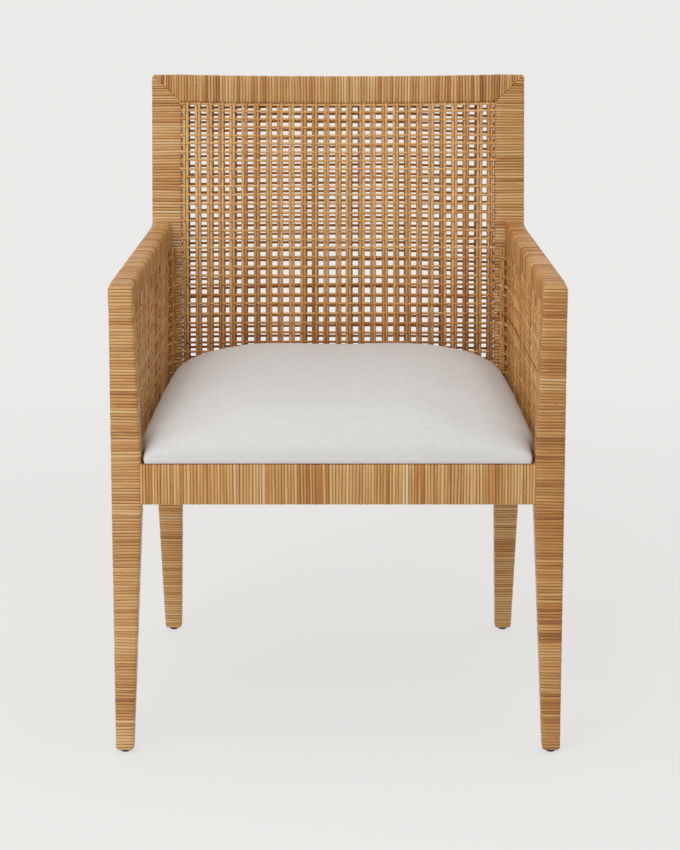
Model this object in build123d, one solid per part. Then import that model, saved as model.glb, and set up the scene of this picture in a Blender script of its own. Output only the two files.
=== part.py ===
from build123d import *
import os
from math import cos, radians, sin, sqrt, tan

# Dining armchair: a wrapped hardwood frame, an open double weave in the back and
# under both arms, and a crowned upholstered seat pad that rests on the seat frame.
# Millimetres, X to the right seen from the front, Y to the back, Z up from the floor.
# The origin is on the floor, under the middle of the chair.

# Overall form
WIDTH = 598.0
BACK_WIDTH = 548.0
SEAT_DEPTH = 486.0
SEAT_RAIL_TOP = 401.0
ARM_TOP = 640.0
BACK_LENGTH = 458.5
BACK_RAKE = 10.8
BACK_BOW = 30.0
REAR_FOOT_KICK = 77.0
WRAP = 2.5
WRAP_CORNER = 4.0
ARM_TOP_CORNER = 7.0

# Front legs, outside the wrap
LEG_WIDTH = 40.0
LEG_DEPTH = 44.0
LEG_FOOT_WIDTH = 24.5
LEG_FOOT_DEPTH = 28.0

# Rear posts, outside the wrap
POST_WIDTH = 44.0
POST_DEPTH = 38.0
POST_FOOT_WIDTH = 25.0
POST_FOOT_DEPTH = 28.0

# Arms, outside the wrap
ARM_FRONT_WIDTH = 33.0
ARM_REAR_WIDTH = 28.0
ARM_FRONT_HEIGHT = 29.0
ARM_REAR_HEIGHT = 41.0

# Rails, outside the wrap
SEAT_RAIL_HEIGHT = 55.0
FRONT_RAIL_THICKNESS = 27.0
CREST_HEIGHT = 41.0

# Mortise and tenon joints
TENON_LENGTH = 15.0
TENON_THICKNESS = 9.0
TENON_SHOULDER = 8.0
LEG_TENON_SIDE = 16.0
LEG_TENON_HEIGHT = 12.0
TENON_CLEARANCE = 0.2

# Woven panels: pairs of upright strands with single strands across them
STRAND_WIDTH = 4.1
STRAND_THICKNESS = 2.2
STRAND_PAIR_GAP = 0.4
WEAVE_CLEARANCE = 0.7
WEFT_WIDTH = 3.6
PAIR_PITCH = 17.04
WEFT_PITCH = 13.2
REAR_WEFT_SHIFT = 0.6
# How much wider the strands across are spaced at the seat, and closer at the crest, than midway
WEFT_SPREAD = 0.11
# The inner arm panels turn in across the rear posts over the last share of their length
PANEL_TURN_FROM = 0.925
PANEL_TURN_IN = 15.5

# Seat pad
BOARD_THICKNESS = 12.0
BOARD_EDGE_FOAM = 6.0
FABRIC_THICKNESS = 1.2
PAD_CLEARANCE = 0.6
PAD_DRAW_IN = 4.0
# Height of the widest place as a share of the crown, and how full the pad is towards its sides
PAD_BULGE = 0.18
PAD_FULLNESS = 4
PAD_STATIONS = (0.95, 0.85, 0.6)
# Crown above the seat rail at shares of the pad's length, front to back
PAD_CROWNS = (
    (0.0, 22.0),
    (0.03, 38.0),
    (0.08, 53.0),
    (0.2, 69.0),
    (0.5, 81.0),
    (0.8, 76.5),
    (0.93, 70.5),
    (0.97, 67.5),
    (1.0, 62.5),
)
DUST_COVER_THICKNESS = 0.8
DUST_COVER_MARGIN = 1.2

# Corner blocks and their screws
BLOCK_LEG = 78.0
BLOCK_HEIGHT = 30.0
BLOCK_CLEARANCE = 0.3
SCREW_DIAMETER = 5.0
SCREW_HEAD_DIAMETER = 11.0
SCREW_HEAD_HEIGHT = 3.5
SCREW_BITE = 9.0
SCREW_CLEARANCE = 0.25
SCREW_FROM_SIDE = 30.0
SCREW_FROM_RAIL = 27.0

# Floor glides
GLIDE_DIAMETER = 17.0
GLIDE_TREAD_DIAMETER = 5.2
GLIDE_HEIGHT = 5.5
GLIDE_PIN_DIAMETER = 3.0
GLIDE_PIN_LENGTH = 14.0
GLIDE_PIN_CLEARANCE = 0.1

# Places that follow from the sizes
RAKE = radians(BACK_RAKE)
POST_SPAN = POST_DEPTH / cos(RAKE)
DEPTH = SEAT_DEPTH + BACK_LENGTH * sin(RAKE) + (POST_DEPTH + BACK_BOW) * cos(RAKE)
FRONT = -DEPTH / 2
LEG_BACK = FRONT + LEG_DEPTH
SEAT_BACK = FRONT + SEAT_DEPTH
RAIL_BOTTOM = SEAT_RAIL_TOP - SEAT_RAIL_HEIGHT
SIDE = WIDTH / 2
BACK_SIDE = BACK_WIDTH / 2
BACK_INSIDE = BACK_SIDE - POST_WIDTH
CREST_BOTTOM = BACK_LENGTH - CREST_HEIGHT
WEAVE_DEPTH = 3 * STRAND_THICKNESS + 2 * WEAVE_CLEARANCE

# The back's own frame: origin between the posts at the seat rail, Y through the back, Z up along it
BACK = Plane(origin=(0, SEAT_BACK, SEAT_RAIL_TOP), x_dir=(1, 0, 0), z_dir=(0, sin(RAKE), cos(RAKE)))


def polygon(*points):
    return make_face(Polyline(*points, close=True))


def seen_from_side(points, x_from, x_to):
    return extrude(Plane.YZ.offset(x_from) * polygon(*points), x_to - x_from)


def seen_from_front(points, y_from, y_to):
    return extrude(Plane.XZ.offset(-y_to) * polygon(*points), y_to - y_from)


def seen_from_above(points, z_from, z_to):
    return extrude(Plane.XY.offset(z_from) * polygon(*points), z_to - z_from)


def block(x, y, z):
    return seen_from_above([(x[0], y[0]), (x[1], y[0]), (x[1], y[1]), (x[0], y[1])], z[0], z[1])


def about(middle, size):
    return (middle - size / 2, middle + size / 2)


def both_sides(name, right):
    return {name + "_right": right, name + "_left": mirror(right, Plane.YZ)}


def back_face(z):
    """How far back the front faces of the rear posts are at a height above the seat rail."""
    return SEAT_BACK + max(z - SEAT_RAIL_TOP, 0.0) * tan(RAKE)


def along_side(y, front_x, rear_x):
    """Plan line of the arms and side rails: straight past the leg, then drawn in to the rear post."""
    share = min(max((y - LEG_BACK) / (SEAT_BACK - LEG_BACK), 0.0), 1.0)
    return front_x + (rear_x - front_x) * share


def outside(y):
    return along_side(y, SIDE, BACK_SIDE)


def inside(y):
    return along_side(y, SIDE - ARM_FRONT_WIDTH, BACK_SIDE - ARM_REAR_WIDTH)


def panel_face(line, turn_in, y, z):
    """Plan line of a woven side panel at a height. The last of it, next to the rear post, may turn in."""
    share = (y - LEG_BACK) / (back_face(z) - LEG_BACK)
    turned = max(share - PANEL_TURN_FROM, 0.0) / (1 - PANEL_TURN_FROM)
    return line(y) - turn_in * turned**2


def arm_underside(y):
    """Height of the arm's lower face, which deepens evenly towards the back."""
    share = (y - FRONT) / (back_face(ARM_TOP) - FRONT)
    return ARM_TOP - ARM_FRONT_HEIGHT - (ARM_REAR_HEIGHT - ARM_FRONT_HEIGHT) * share


def side_plan(near, far, y_from, y_to):
    """Plan between two lines along the side of the chair, with their turns at the leg and the post."""
    turns = [y for y in (LEG_BACK, SEAT_BACK) if y_from < y < y_to]
    stations = [y_from, *turns, y_to]
    return [(near(y), y) for y in stations] + [(far(y), y) for y in reversed(stations)]


# Frame members, each given at its wrapped size or, inset by the wrap, as bare wood


def front_leg(inset):
    width = [
        (SIDE - inset, GLIDE_HEIGHT),
        (SIDE - inset, ARM_TOP - inset),
        (SIDE - ARM_FRONT_WIDTH + inset, ARM_TOP - inset),
        (SIDE - ARM_FRONT_WIDTH + inset, ARM_TOP - ARM_FRONT_HEIGHT),
        (SIDE - LEG_WIDTH + inset, SEAT_RAIL_TOP),
        (SIDE - LEG_WIDTH + inset, RAIL_BOTTOM),
        (SIDE - LEG_FOOT_WIDTH + inset, GLIDE_HEIGHT),
    ]
    depth = [
        (FRONT + inset, GLIDE_HEIGHT),
        (FRONT + inset, ARM_TOP),
        (LEG_BACK - inset, ARM_TOP),
        (LEG_BACK - inset, RAIL_BOTTOM),
        (FRONT + LEG_FOOT_DEPTH - inset, GLIDE_HEIGHT),
    ]
    return seen_from_front(width, FRONT, LEG_BACK) & seen_from_side(depth, 0, SIDE)


def rear_post(inset):
    foot_side = (POST_WIDTH - POST_FOOT_WIDTH) / 2 + inset
    foot_front = SEAT_BACK + REAR_FOOT_KICK
    top = BACK_LENGTH - inset
    slant = inset / cos(RAKE)
    width = [
        (BACK_SIDE - foot_side, GLIDE_HEIGHT),
        (BACK_SIDE - inset, RAIL_BOTTOM),
        (BACK_SIDE - inset, ARM_TOP + BACK_LENGTH),
        (BACK_INSIDE + inset, ARM_TOP + BACK_LENGTH),
        (BACK_INSIDE + inset, RAIL_BOTTOM),
        (BACK_INSIDE + foot_side, GLIDE_HEIGHT),
    ]
    front_top = BACK.from_local_coords((0, inset, top))
    rear_top = BACK.from_local_coords((0, POST_DEPTH - inset, top))
    depth = [
        (foot_front + inset, GLIDE_HEIGHT),
        (SEAT_BACK + slant, RAIL_BOTTOM),
        (SEAT_BACK + slant, SEAT_RAIL_TOP),
        (front_top.Y, front_top.Z),
        (rear_top.Y, rear_top.Z),
        (SEAT_BACK + POST_SPAN - slant, SEAT_RAIL_TOP),
        (SEAT_BACK + POST_SPAN - slant, RAIL_BOTTOM),
        (foot_front + POST_FOOT_DEPTH - inset, GLIDE_HEIGHT),
    ]
    return seen_from_front(width, FRONT, -FRONT) & seen_from_side(depth, 0, SIDE)


def arm(inset):
    reach = back_face(ARM_TOP) + POST_SPAN / 2
    plan = side_plan(lambda y: outside(y) - inset, lambda y: inside(y) + inset, FRONT + inset, reach)
    height = [
        (FRONT, ARM_TOP - inset),
        (reach, ARM_TOP - inset),
        (reach, arm_underside(reach) + inset),
        (FRONT, arm_underside(FRONT) + inset),
    ]
    return seen_from_above(plan, RAIL_BOTTOM, ARM_TOP) & seen_from_side(height, 0, SIDE)


def side_rail(inset):
    front = LEG_BACK - inset
    rear = SEAT_BACK + inset / cos(RAKE)
    plan = side_plan(lambda y: outside(y) - inset, lambda y: inside(y) + inset, front, rear)
    return seen_from_above(plan, RAIL_BOTTOM + inset, SEAT_RAIL_TOP - inset)


def front_rail(inset):
    reach = SIDE - LEG_WIDTH + inset
    thickness = (FRONT + inset, FRONT + FRONT_RAIL_THICKNESS - inset)
    return block((-reach, reach), thickness, (RAIL_BOTTOM + inset, SEAT_RAIL_TOP - inset))


def rear_rail(inset):
    reach = BACK_INSIDE + inset
    slant = inset / cos(RAKE)
    thickness = (SEAT_BACK + slant, SEAT_BACK + POST_SPAN - slant)
    return block((-reach, reach), thickness, (RAIL_BOTTOM + inset, SEAT_RAIL_TOP - inset))


def bowed_bar(reach, front_y, thickness, bow, z_from, z_to):
    """A bar of even thickness that bows to the rear between the posts, in the back's frame."""
    end = bow * (1 - (reach / BACK_INSIDE) ** 2)
    rear_y = front_y + thickness
    outline = [
        ThreePointArc((-reach, front_y + end), (0, front_y + bow), (reach, front_y + end)),
        Line((reach, front_y + end), (reach, rear_y + end)),
        ThreePointArc((reach, rear_y + end), (0, rear_y + bow), (-reach, rear_y + end)),
        Line((-reach, rear_y + end), (-reach, front_y + end)),
    ]
    return BACK * extrude(Plane.XY.offset(z_from) * make_face(outline), z_to - z_from)


def crest_rail(inset):
    reach = BACK_INSIDE + inset
    thickness = POST_DEPTH - 2 * inset
    return bowed_bar(reach, inset, thickness, BACK_BOW, CREST_BOTTOM + inset, BACK_LENGTH - inset)


# Tenons, and the mortises that take them


def tenons(clearance):
    """Each tenon of the right half by name, grown by the clearance for its mortise."""
    thickness = TENON_THICKNESS + 2 * clearance
    length = TENON_LENGTH + clearance
    seat_rail_z = (
        RAIL_BOTTOM + WRAP + TENON_SHOULDER - clearance,
        SEAT_RAIL_TOP - WRAP - TENON_SHOULDER + clearance,
    )
    leg_face = SIDE - LEG_WIDTH + WRAP
    post_face = BACK_INSIDE + WRAP
    slant = WRAP / cos(RAKE)
    side_front = about((outside(LEG_BACK) + inside(LEG_BACK)) / 2, thickness)
    side_rear = about((outside(SEAT_BACK) + inside(SEAT_BACK)) / 2, thickness)
    leg_side = LEG_TENON_SIDE + 2 * clearance
    arm_seat = arm_underside(FRONT + LEG_DEPTH / 2) + WRAP
    arm_rear = back_face(ARM_TOP)
    arm_z = (
        arm_underside(arm_rear) + WRAP + TENON_SHOULDER - clearance,
        ARM_TOP - WRAP - TENON_SHOULDER + clearance,
    )
    arm_shoulder = back_face(arm_z[0]) + slant
    crest_z = (
        CREST_BOTTOM + WRAP + TENON_SHOULDER - clearance,
        BACK_LENGTH - WRAP - TENON_SHOULDER + clearance,
    )
    leg_x = (leg_face - WRAP, leg_face + length)
    post_x = (post_face - WRAP, post_face + length)
    return {
        "front_rail": block(leg_x, about(FRONT + FRONT_RAIL_THICKNESS / 2, thickness), seat_rail_z),
        "side_rail_front": block(side_front, (LEG_BACK - WRAP - length, LEG_BACK), seat_rail_z),
        "side_rail_rear": block(side_rear, (SEAT_BACK, SEAT_BACK + slant + length), seat_rail_z),
        "rear_rail": block(post_x, about(SEAT_BACK + POST_SPAN / 2, thickness), seat_rail_z),
        "leg": block(
            about(SIDE - ARM_FRONT_WIDTH / 2, leg_side),
            about(FRONT + LEG_DEPTH / 2, leg_side),
            (arm_seat - WRAP, arm_seat + LEG_TENON_HEIGHT + clearance),
        ),
        "arm": block(side_rear, (arm_shoulder - WRAP, arm_rear + slant + length), arm_z),
        "crest": BACK * block(post_x, about(POST_DEPTH / 2, thickness), crest_z),
    }


tenon = tenons(0.0)
mortise = tenons(TENON_CLEARANCE)

# Bare wood of each member, before its joints
leg_wood = front_leg(WRAP) - arm(WRAP)
post_wood = rear_post(WRAP)
arm_wood = arm(WRAP) - post_wood
side_rail_wood = side_rail(WRAP)
front_rail_wood = front_rail(WRAP)
rear_rail_wood = rear_rail(WRAP)
crest_wood = crest_rail(WRAP)

# Floor glides: a domed steel head with a pin driven into the foot
glide_radius = GLIDE_DIAMETER / 2
tread_radius = GLIDE_TREAD_DIAMETER / 2
pin_radius = GLIDE_PIN_DIAMETER / 2
pin_top = GLIDE_HEIGHT + GLIDE_PIN_LENGTH
glide_section = make_face(
    [
        TangentArc((tread_radius, 0), (glide_radius, GLIDE_HEIGHT), tangent=(1, 0)),
        Polyline((glide_radius, GLIDE_HEIGHT), (pin_radius, GLIDE_HEIGHT), (pin_radius, pin_top)),
        Polyline((pin_radius, pin_top), (0, pin_top), (0, 0), (tread_radius, 0)),
    ]
)
glide = revolve(Plane.XZ * glide_section, Axis.Z)
upward = (Align.CENTER, Align.CENTER, Align.MIN)
pin_hole = Cylinder(pin_radius + GLIDE_PIN_CLEARANCE, GLIDE_PIN_LENGTH + GLIDE_PIN_CLEARANCE, align=upward)
front_foot = Pos(SIDE - LEG_FOOT_WIDTH / 2, FRONT + LEG_FOOT_DEPTH / 2, 0)
rear_foot = Pos(BACK_SIDE - POST_WIDTH / 2, SEAT_BACK + REAR_FOOT_KICK + POST_FOOT_DEPTH / 2, 0)
foot_level = Pos(0, 0, GLIDE_HEIGHT)

# Finished wood, with tenons added and mortises and pin holes cut
leg = leg_wood + tenon["leg"] - mortise["front_rail"] - mortise["side_rail_front"]
leg -= foot_level * front_foot * pin_hole
post = post_wood - mortise["side_rail_rear"] - mortise["rear_rail"] - mortise["arm"] - mortise["crest"]
post -= foot_level * rear_foot * pin_hole
arm_piece = arm_wood + tenon["arm"] - mortise["leg"]
side_rail_piece = side_rail_wood + tenon["side_rail_front"] + tenon["side_rail_rear"]
front_rail_piece = front_rail_wood + tenon["front_rail"] + mirror(tenon["front_rail"], Plane.YZ)
rear_rail_piece = rear_rail_wood + tenon["rear_rail"] + mirror(tenon["rear_rail"], Plane.YZ)
crest_piece = crest_wood + tenon["crest"] + mirror(tenon["crest"], Plane.YZ)

# Rattan wrap: a sleeve of wound strand on each member, open where another member's wood joins it
across = Vector(1, 0, 0)
rearward = Vector(0, 1, 0)


def long_edges(member, lengthwise):
    """Edges that run along a member rather than across it."""
    edges = []
    for edge in member.edges():
        run = edge @ 1 - edge @ 0
        if run.cross(lengthwise).length < abs(run.dot(lengthwise)):
            edges.append(edge)
    return edges


def arm_edges(member, upper, outer):
    """Long edges of the arm above or below its middle, on its outer or its inner face."""
    edges = []
    for edge in long_edges(member, rearward):
        place = edge.center()
        above = place.Z > ARM_TOP - ARM_FRONT_HEIGHT / 2
        outside_middle = place.X > (inside(place.Y) + outside(place.Y)) / 2
        if above == upper and outside_middle == outer:
            edges.append(edge)
    return edges


def softened(member, lengthwise):
    """A wrapped member with its long edges rounded, as the strand bends round them."""
    return fillet(long_edges(member, lengthwise), WRAP_CORNER)


def tapered(sections):
    """A bent or tapered member through rounded sections, each given by its plane and its sides."""
    faces = []
    for plane, x, y in sections:
        middle = Pos((x[0] + x[1]) / 2, (y[0] + y[1]) / 2, 0)
        faces.append(plane * middle * RectangleRounded(x[1] - x[0], y[1] - y[0], WRAP_CORNER))
    return loft(faces, ruled=True)


leg_x = (SIDE - LEG_WIDTH, SIDE)
leg_y = (FRONT, LEG_BACK)
leg_taper = (LEG_WIDTH - ARM_FRONT_WIDTH) / (ARM_TOP - ARM_FRONT_HEIGHT - SEAT_RAIL_TOP)
leg_top_width = LEG_WIDTH - leg_taper * (ARM_TOP - SEAT_RAIL_TOP)
soft_leg = tapered(
    [
        (Plane.XY.offset(GLIDE_HEIGHT), (SIDE - LEG_FOOT_WIDTH, SIDE), (FRONT, FRONT + LEG_FOOT_DEPTH)),
        (Plane.XY.offset(RAIL_BOTTOM), leg_x, leg_y),
        (Plane.XY.offset(SEAT_RAIL_TOP), leg_x, leg_y),
        (Plane.XY.offset(ARM_TOP), (SIDE - leg_top_width, SIDE), leg_y),
    ]
)
post_x = (BACK_INSIDE, BACK_SIDE)
post_y = (SEAT_BACK, SEAT_BACK + POST_SPAN)
foot_y = (SEAT_BACK + REAR_FOOT_KICK, SEAT_BACK + REAR_FOOT_KICK + POST_FOOT_DEPTH)
soft_post = tapered(
    [
        (Plane.XY.offset(GLIDE_HEIGHT), about((BACK_INSIDE + BACK_SIDE) / 2, POST_FOOT_WIDTH), foot_y),
        (Plane.XY.offset(RAIL_BOTTOM), post_x, post_y),
        (Plane.XY.offset(SEAT_RAIL_TOP), post_x, post_y),
        (BACK.offset(BACK_LENGTH), post_x, (0, POST_DEPTH)),
    ]
)
# The sleeves of the crest and of the posts meet in a mitre at both top corners
mitre = BACK * seen_from_front(
    [(BACK_INSIDE, CREST_BOTTOM), (BACK_SIDE, BACK_LENGTH), (BACK_INSIDE, BACK_LENGTH)], 0, POST_DEPTH
)
over_leg = (FRONT - LEG_DEPTH, LEG_BACK + LEG_DEPTH)
above_underside = [
    (over_leg[0], arm_underside(over_leg[0])),
    (over_leg[1], arm_underside(over_leg[1])),
    (over_leg[1], ARM_TOP + LEG_DEPTH),
    (over_leg[0], ARM_TOP + LEG_DEPTH),
]
leg_wrap = soft_leg - seen_from_side(above_underside, 0, WIDTH) - front_leg(WRAP)
leg_wrap -= front_rail_wood + side_rail_wood
post_sleeve = soft_post - post_wood - crest_wood
post_wrap = post_sleeve - mitre - arm_wood - side_rail_wood - rear_rail_wood
crest_corner = post_sleeve & mitre
crest_wrap = softened(crest_rail(0), across) - crest_wood + crest_corner + mirror(crest_corner, Plane.YZ)
soft_arm = arm(0)
for upper, corner in ((True, ARM_TOP_CORNER), (False, WRAP_CORNER)):
    for outer in (True, False):
        soft_arm = fillet(arm_edges(soft_arm, upper, outer), corner)
arm_wrap = soft_arm - rear_post(0) - arm(WRAP) - front_leg(WRAP)
side_rail_wrap = softened(side_rail(0), rearward) - side_rail_wood
front_rail_wrap = softened(front_rail(0), across) - front_rail_wood
rear_rail_wrap = softened(rear_rail(0), across) - rear_rail_wood

# Woven panels: the upright pairs lie between strands that pass in front and behind by turns


def pair_middles(start, end, length):
    """Middles of the single strands of every upright pair between two places, for a panel of a usual length."""
    count = round(length / PAIR_PITCH)
    pitch = (end - start) / count
    apart = (STRAND_WIDTH + STRAND_PAIR_GAP) / 2
    middles = []
    for i in range(count):
        pair = start + pitch * (i + 0.5)
        middles += [pair - apart, pair + apart]
    return middles


def weft_heights(first=1.0):
    """Lower edges of the strands that run across the back, from a first share of their spacing."""
    bottom = POST_DEPTH * tan(RAKE)
    spaces = round((CREST_BOTTOM - bottom) / WEFT_PITCH)
    heights = []
    for i in range(spaces):
        share = (i + first) / spaces
        if share < 1:
            rise = (CREST_BOTTOM - bottom) * share * (1 + WEFT_SPREAD * (1 - share))
            heights.append(bottom + rise - WEFT_WIDTH / 2)
    return heights


def back_warps(layer_y):
    near = layer_y + STRAND_THICKNESS + WEAVE_CLEARANCE
    far = near + STRAND_THICKNESS
    strands = []
    for x in pair_middles(-BACK_INSIDE, BACK_INSIDE, 2 * BACK_INSIDE):
        bow = BACK_BOW * (1 - (x / BACK_INSIDE) ** 2)
        side = [
            (near, near * tan(RAKE)),
            (far, far * tan(RAKE)),
            (far + bow, CREST_BOTTOM),
            (near + bow, CREST_BOTTOM),
        ]
        strands.append(BACK * seen_from_side(side, *about(x, STRAND_WIDTH)))
    return strands


def back_wefts(layer_y, first):
    strands = []
    for i, z in enumerate(weft_heights(first)):
        bow = BACK_BOW * z / CREST_BOTTOM
        front_y = layer_y + (WEAVE_DEPTH - STRAND_THICKNESS) * (i % 2)
        strands.append(bowed_bar(BACK_INSIDE, front_y, STRAND_THICKNESS, bow, z, z + WEFT_WIDTH))
    return strands


arm_panel_top = ARM_TOP - ARM_REAR_HEIGHT
arm_panel_length = back_face((SEAT_RAIL_TOP + arm_panel_top) / 2) - LEG_BACK


def arm_warps(line, turn_in, layer_x):
    """Upright strands of a side panel, fanned a little so that the last ones follow the raked post."""
    near = layer_x + STRAND_THICKNESS + WEAVE_CLEARANCE
    low_middles = pair_middles(LEG_BACK, SEAT_BACK, arm_panel_length)
    high_middles = pair_middles(LEG_BACK, back_face(arm_panel_top), arm_panel_length)
    strands = []
    for low_y, high_y in zip(low_middles, high_middles):
        ends = []
        for middle, z in ((low_y, SEAT_RAIL_TOP), (high_y, arm_underside(high_y + STRAND_WIDTH / 2))):
            y_from, y_to = about(middle, STRAND_WIDTH)
            x_from = panel_face(line, turn_in, y_from, z) + near
            x_to = panel_face(line, turn_in, y_to, z) + near
            corners = [(x_from, y_from), (x_to, y_to)]
            corners += [(x_to + STRAND_THICKNESS, y_to), (x_from + STRAND_THICKNESS, y_from)]
            ends.append(Plane.XY.offset(z) * polygon(*corners))
        strands.append(loft(ends, ruled=True))
    return strands


def arm_wefts(line, turn_in, layer_x, shares):
    """Lengthwise strands of a side panel, level with the strands across the back."""
    strands = []
    for i, height in enumerate(weft_heights()):
        z = SEAT_RAIL_TOP + height * cos(RAKE)
        if z + WEFT_WIDTH < arm_panel_top:
            near = layer_x + (WEAVE_DEPTH - STRAND_THICKNESS) * (i % 2)
            stations = [LEG_BACK + (back_face(z) - LEG_BACK) * share for share in shares]
            inner = [(panel_face(line, turn_in, y, z) + near, y) for y in stations]
            outer = [(x + STRAND_THICKNESS, y) for x, y in reversed(inner)]
            strands.append(seen_from_above(inner + outer, z, z + WEFT_WIDTH))
    return strands


def group(strands):
    return Compound(children=strands)


# Seat pad: cover, foam and plywood board, crowned and drawn in at the lower edge


def pad_half_width(y):
    return min(SIDE - LEG_WIDTH, panel_face(inside, PANEL_TURN_IN, y, SEAT_RAIL_TOP)) - PAD_CLEARANCE


def pad_section(y, crown, inset):
    """Outline of the pad across the chair: flat below, swelling sides and a full, crowned top."""
    wide = pad_half_width(y) - inset
    rise = crown - inset
    side = [(wide - PAD_DRAW_IN, 0), (wide, rise * PAD_BULGE)]
    side += [(wide * share, rise * sqrt(1 - share**PAD_FULLNESS)) for share in PAD_STATIONS]
    right = [(x, SEAT_RAIL_TOP + z) for x, z in side]
    left = [(-x, z) for x, z in reversed(right)]
    swell = Spline(*right, (0, SEAT_RAIL_TOP + rise), *left)
    return Plane.XZ.offset(-y) * make_face([swell, Line(left[-1], right[0])])


def pad(inset):
    front = FRONT + PAD_CLEARANCE + inset
    rear = SEAT_BACK - PAD_CLEARANCE - inset
    return loft([pad_section(front + (rear - front) * share, crown, inset) for share, crown in PAD_CROWNS])


pad_outside = pad(0.0)
pad_inside = pad(FABRIC_THICKNESS)
board_front = FRONT + PAD_CLEARANCE + FABRIC_THICKNESS + BOARD_EDGE_FOAM
board_rear = SEAT_BACK - PAD_CLEARANCE - FABRIC_THICKNESS - BOARD_EDGE_FOAM
board_inset = PAD_DRAW_IN + FABRIC_THICKNESS + BOARD_EDGE_FOAM


def board_half_width(y):
    share = (y - board_front) / (board_rear - board_front)
    front, rear = pad_half_width(board_front), pad_half_width(board_rear)
    return front + (rear - front) * share - board_inset


board_plan = [
    (board_half_width(board_front), board_front),
    (board_half_width(board_rear), board_rear),
    (-board_half_width(board_rear), board_rear),
    (-board_half_width(board_front), board_front),
]
board_blank = seen_from_above(board_plan, SEAT_RAIL_TOP, SEAT_RAIL_TOP + BOARD_THICKNESS)

# Corner blocks: glued and screwed into the four corners of the seat frame, under the board
block_top = SEAT_RAIL_TOP
block_bottom = SEAT_RAIL_TOP - BLOCK_HEIGHT
rail_back = FRONT + FRONT_RAIL_THICKNESS
leg_inside = SIDE - LEG_WIDTH
front_block_plan = [
    (leg_inside - BLOCK_LEG, rail_back),
    (leg_inside - BLOCK_CLEARANCE, rail_back),
    (leg_inside - BLOCK_CLEARANCE, LEG_BACK + BLOCK_CLEARANCE),
    (inside(LEG_BACK + BLOCK_CLEARANCE), LEG_BACK + BLOCK_CLEARANCE),
    (inside(rail_back + BLOCK_LEG), rail_back + BLOCK_LEG),
]
rear_block_plan = [
    (inside(SEAT_BACK) - BLOCK_LEG, SEAT_BACK),
    (inside(SEAT_BACK - BLOCK_LEG), SEAT_BACK - BLOCK_LEG),
    (inside(SEAT_BACK), SEAT_BACK),
]
front_screw_y = rail_back + SCREW_FROM_RAIL
rear_screw_y = SEAT_BACK - SCREW_FROM_RAIL
front_screw = Pos(pad_half_width(front_screw_y) - SCREW_FROM_SIDE, front_screw_y, 0)
rear_screw = Pos(pad_half_width(rear_screw_y) - SCREW_FROM_SIDE, rear_screw_y, 0)
screw_length = BLOCK_HEIGHT + SCREW_BITE
screw = Pos(0, 0, block_bottom - SCREW_HEAD_HEIGHT) * Cylinder(
    SCREW_HEAD_DIAMETER / 2, SCREW_HEAD_HEIGHT, align=upward
)
screw += Pos(0, 0, block_bottom) * Cylinder(SCREW_DIAMETER / 2, screw_length, align=upward)
screw_hole = Pos(0, 0, block_bottom) * Cylinder(
    SCREW_DIAMETER / 2 + SCREW_CLEARANCE, screw_length + SCREW_CLEARANCE, align=upward
)
front_block = seen_from_above(front_block_plan, block_bottom, block_top) - front_screw * screw_hole
rear_block = seen_from_above(rear_block_plan, block_bottom, block_top) - rear_screw * screw_hole
half_screws = [front_screw * screw, rear_screw * screw]
half_holes = front_screw * screw_hole + rear_screw * screw_hole
board = board_blank - half_holes - mirror(half_holes, Plane.YZ)

# Dust cover: thin cloth stapled under the board, cut back at the corners to miss the blocks
dust_front = rail_back + BLOCK_CLEARANCE
dust_rear = board_rear
dust_side = BLOCK_LEG + DUST_COVER_MARGIN
dust_plan = [
    (leg_inside - dust_side, dust_front),
    (board_half_width(dust_front + dust_side) - DUST_COVER_MARGIN, dust_front + dust_side),
    (board_half_width(dust_rear - dust_side) - DUST_COVER_MARGIN, dust_rear - dust_side),
    (inside(dust_rear) - dust_side, dust_rear),
]
dust_mirrored = [(-x, y) for x, y in reversed(dust_plan)]
dust_cover = seen_from_above(dust_plan + dust_mirrored, SEAT_RAIL_TOP - DUST_COVER_THICKNESS, SEAT_RAIL_TOP)

# Every piece by name
outer_layer = -WEAVE_DEPTH
straight_shares = (0, PANEL_TURN_FROM, 1)
turn_steps = 4
turned_shares = [0] + [PANEL_TURN_FROM + (1 - PANEL_TURN_FROM) * i / turn_steps for i in range(turn_steps + 1)]
pieces = {
    "crest_rail": crest_piece,
    "front_seat_rail": front_rail_piece,
    "rear_seat_rail": rear_rail_piece,
    "crest_wrap": crest_wrap,
    "front_rail_wrap": front_rail_wrap,
    "rear_rail_wrap": rear_rail_wrap,
    "back_weave_front_warps": group(back_warps(0)),
    "back_weave_front_wefts": group(back_wefts(0, 1.0)),
    "back_weave_rear_warps": group(back_warps(POST_DEPTH - WEAVE_DEPTH)),
    "back_weave_rear_wefts": group(back_wefts(POST_DEPTH - WEAVE_DEPTH, REAR_WEFT_SHIFT)),
    "seat_board": board,
    "seat_foam": pad_inside - board_blank,
    "seat_cover": pad_outside - pad_inside,
    "seat_dust_cover": dust_cover,
    "seat_screws": group(half_screws + [mirror(s, Plane.YZ) for s in half_screws]),
}
pieces |= both_sides("front_leg", leg)
pieces |= both_sides("rear_post", post)
pieces |= both_sides("arm_rail", arm_piece)
pieces |= both_sides("side_seat_rail", side_rail_piece)
pieces |= both_sides("front_leg_wrap", leg_wrap)
pieces |= both_sides("rear_post_wrap", post_wrap)
pieces |= both_sides("arm_wrap", arm_wrap)
pieces |= both_sides("side_rail_wrap", side_rail_wrap)
pieces |= both_sides("front_corner_block", front_block)
pieces |= both_sides("rear_corner_block", rear_block)
pieces |= both_sides("arm_weave_inner_warps", group(arm_warps(inside, PANEL_TURN_IN, 0)))
pieces |= both_sides("arm_weave_inner_wefts", group(arm_wefts(inside, PANEL_TURN_IN, 0, turned_shares)))
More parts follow.
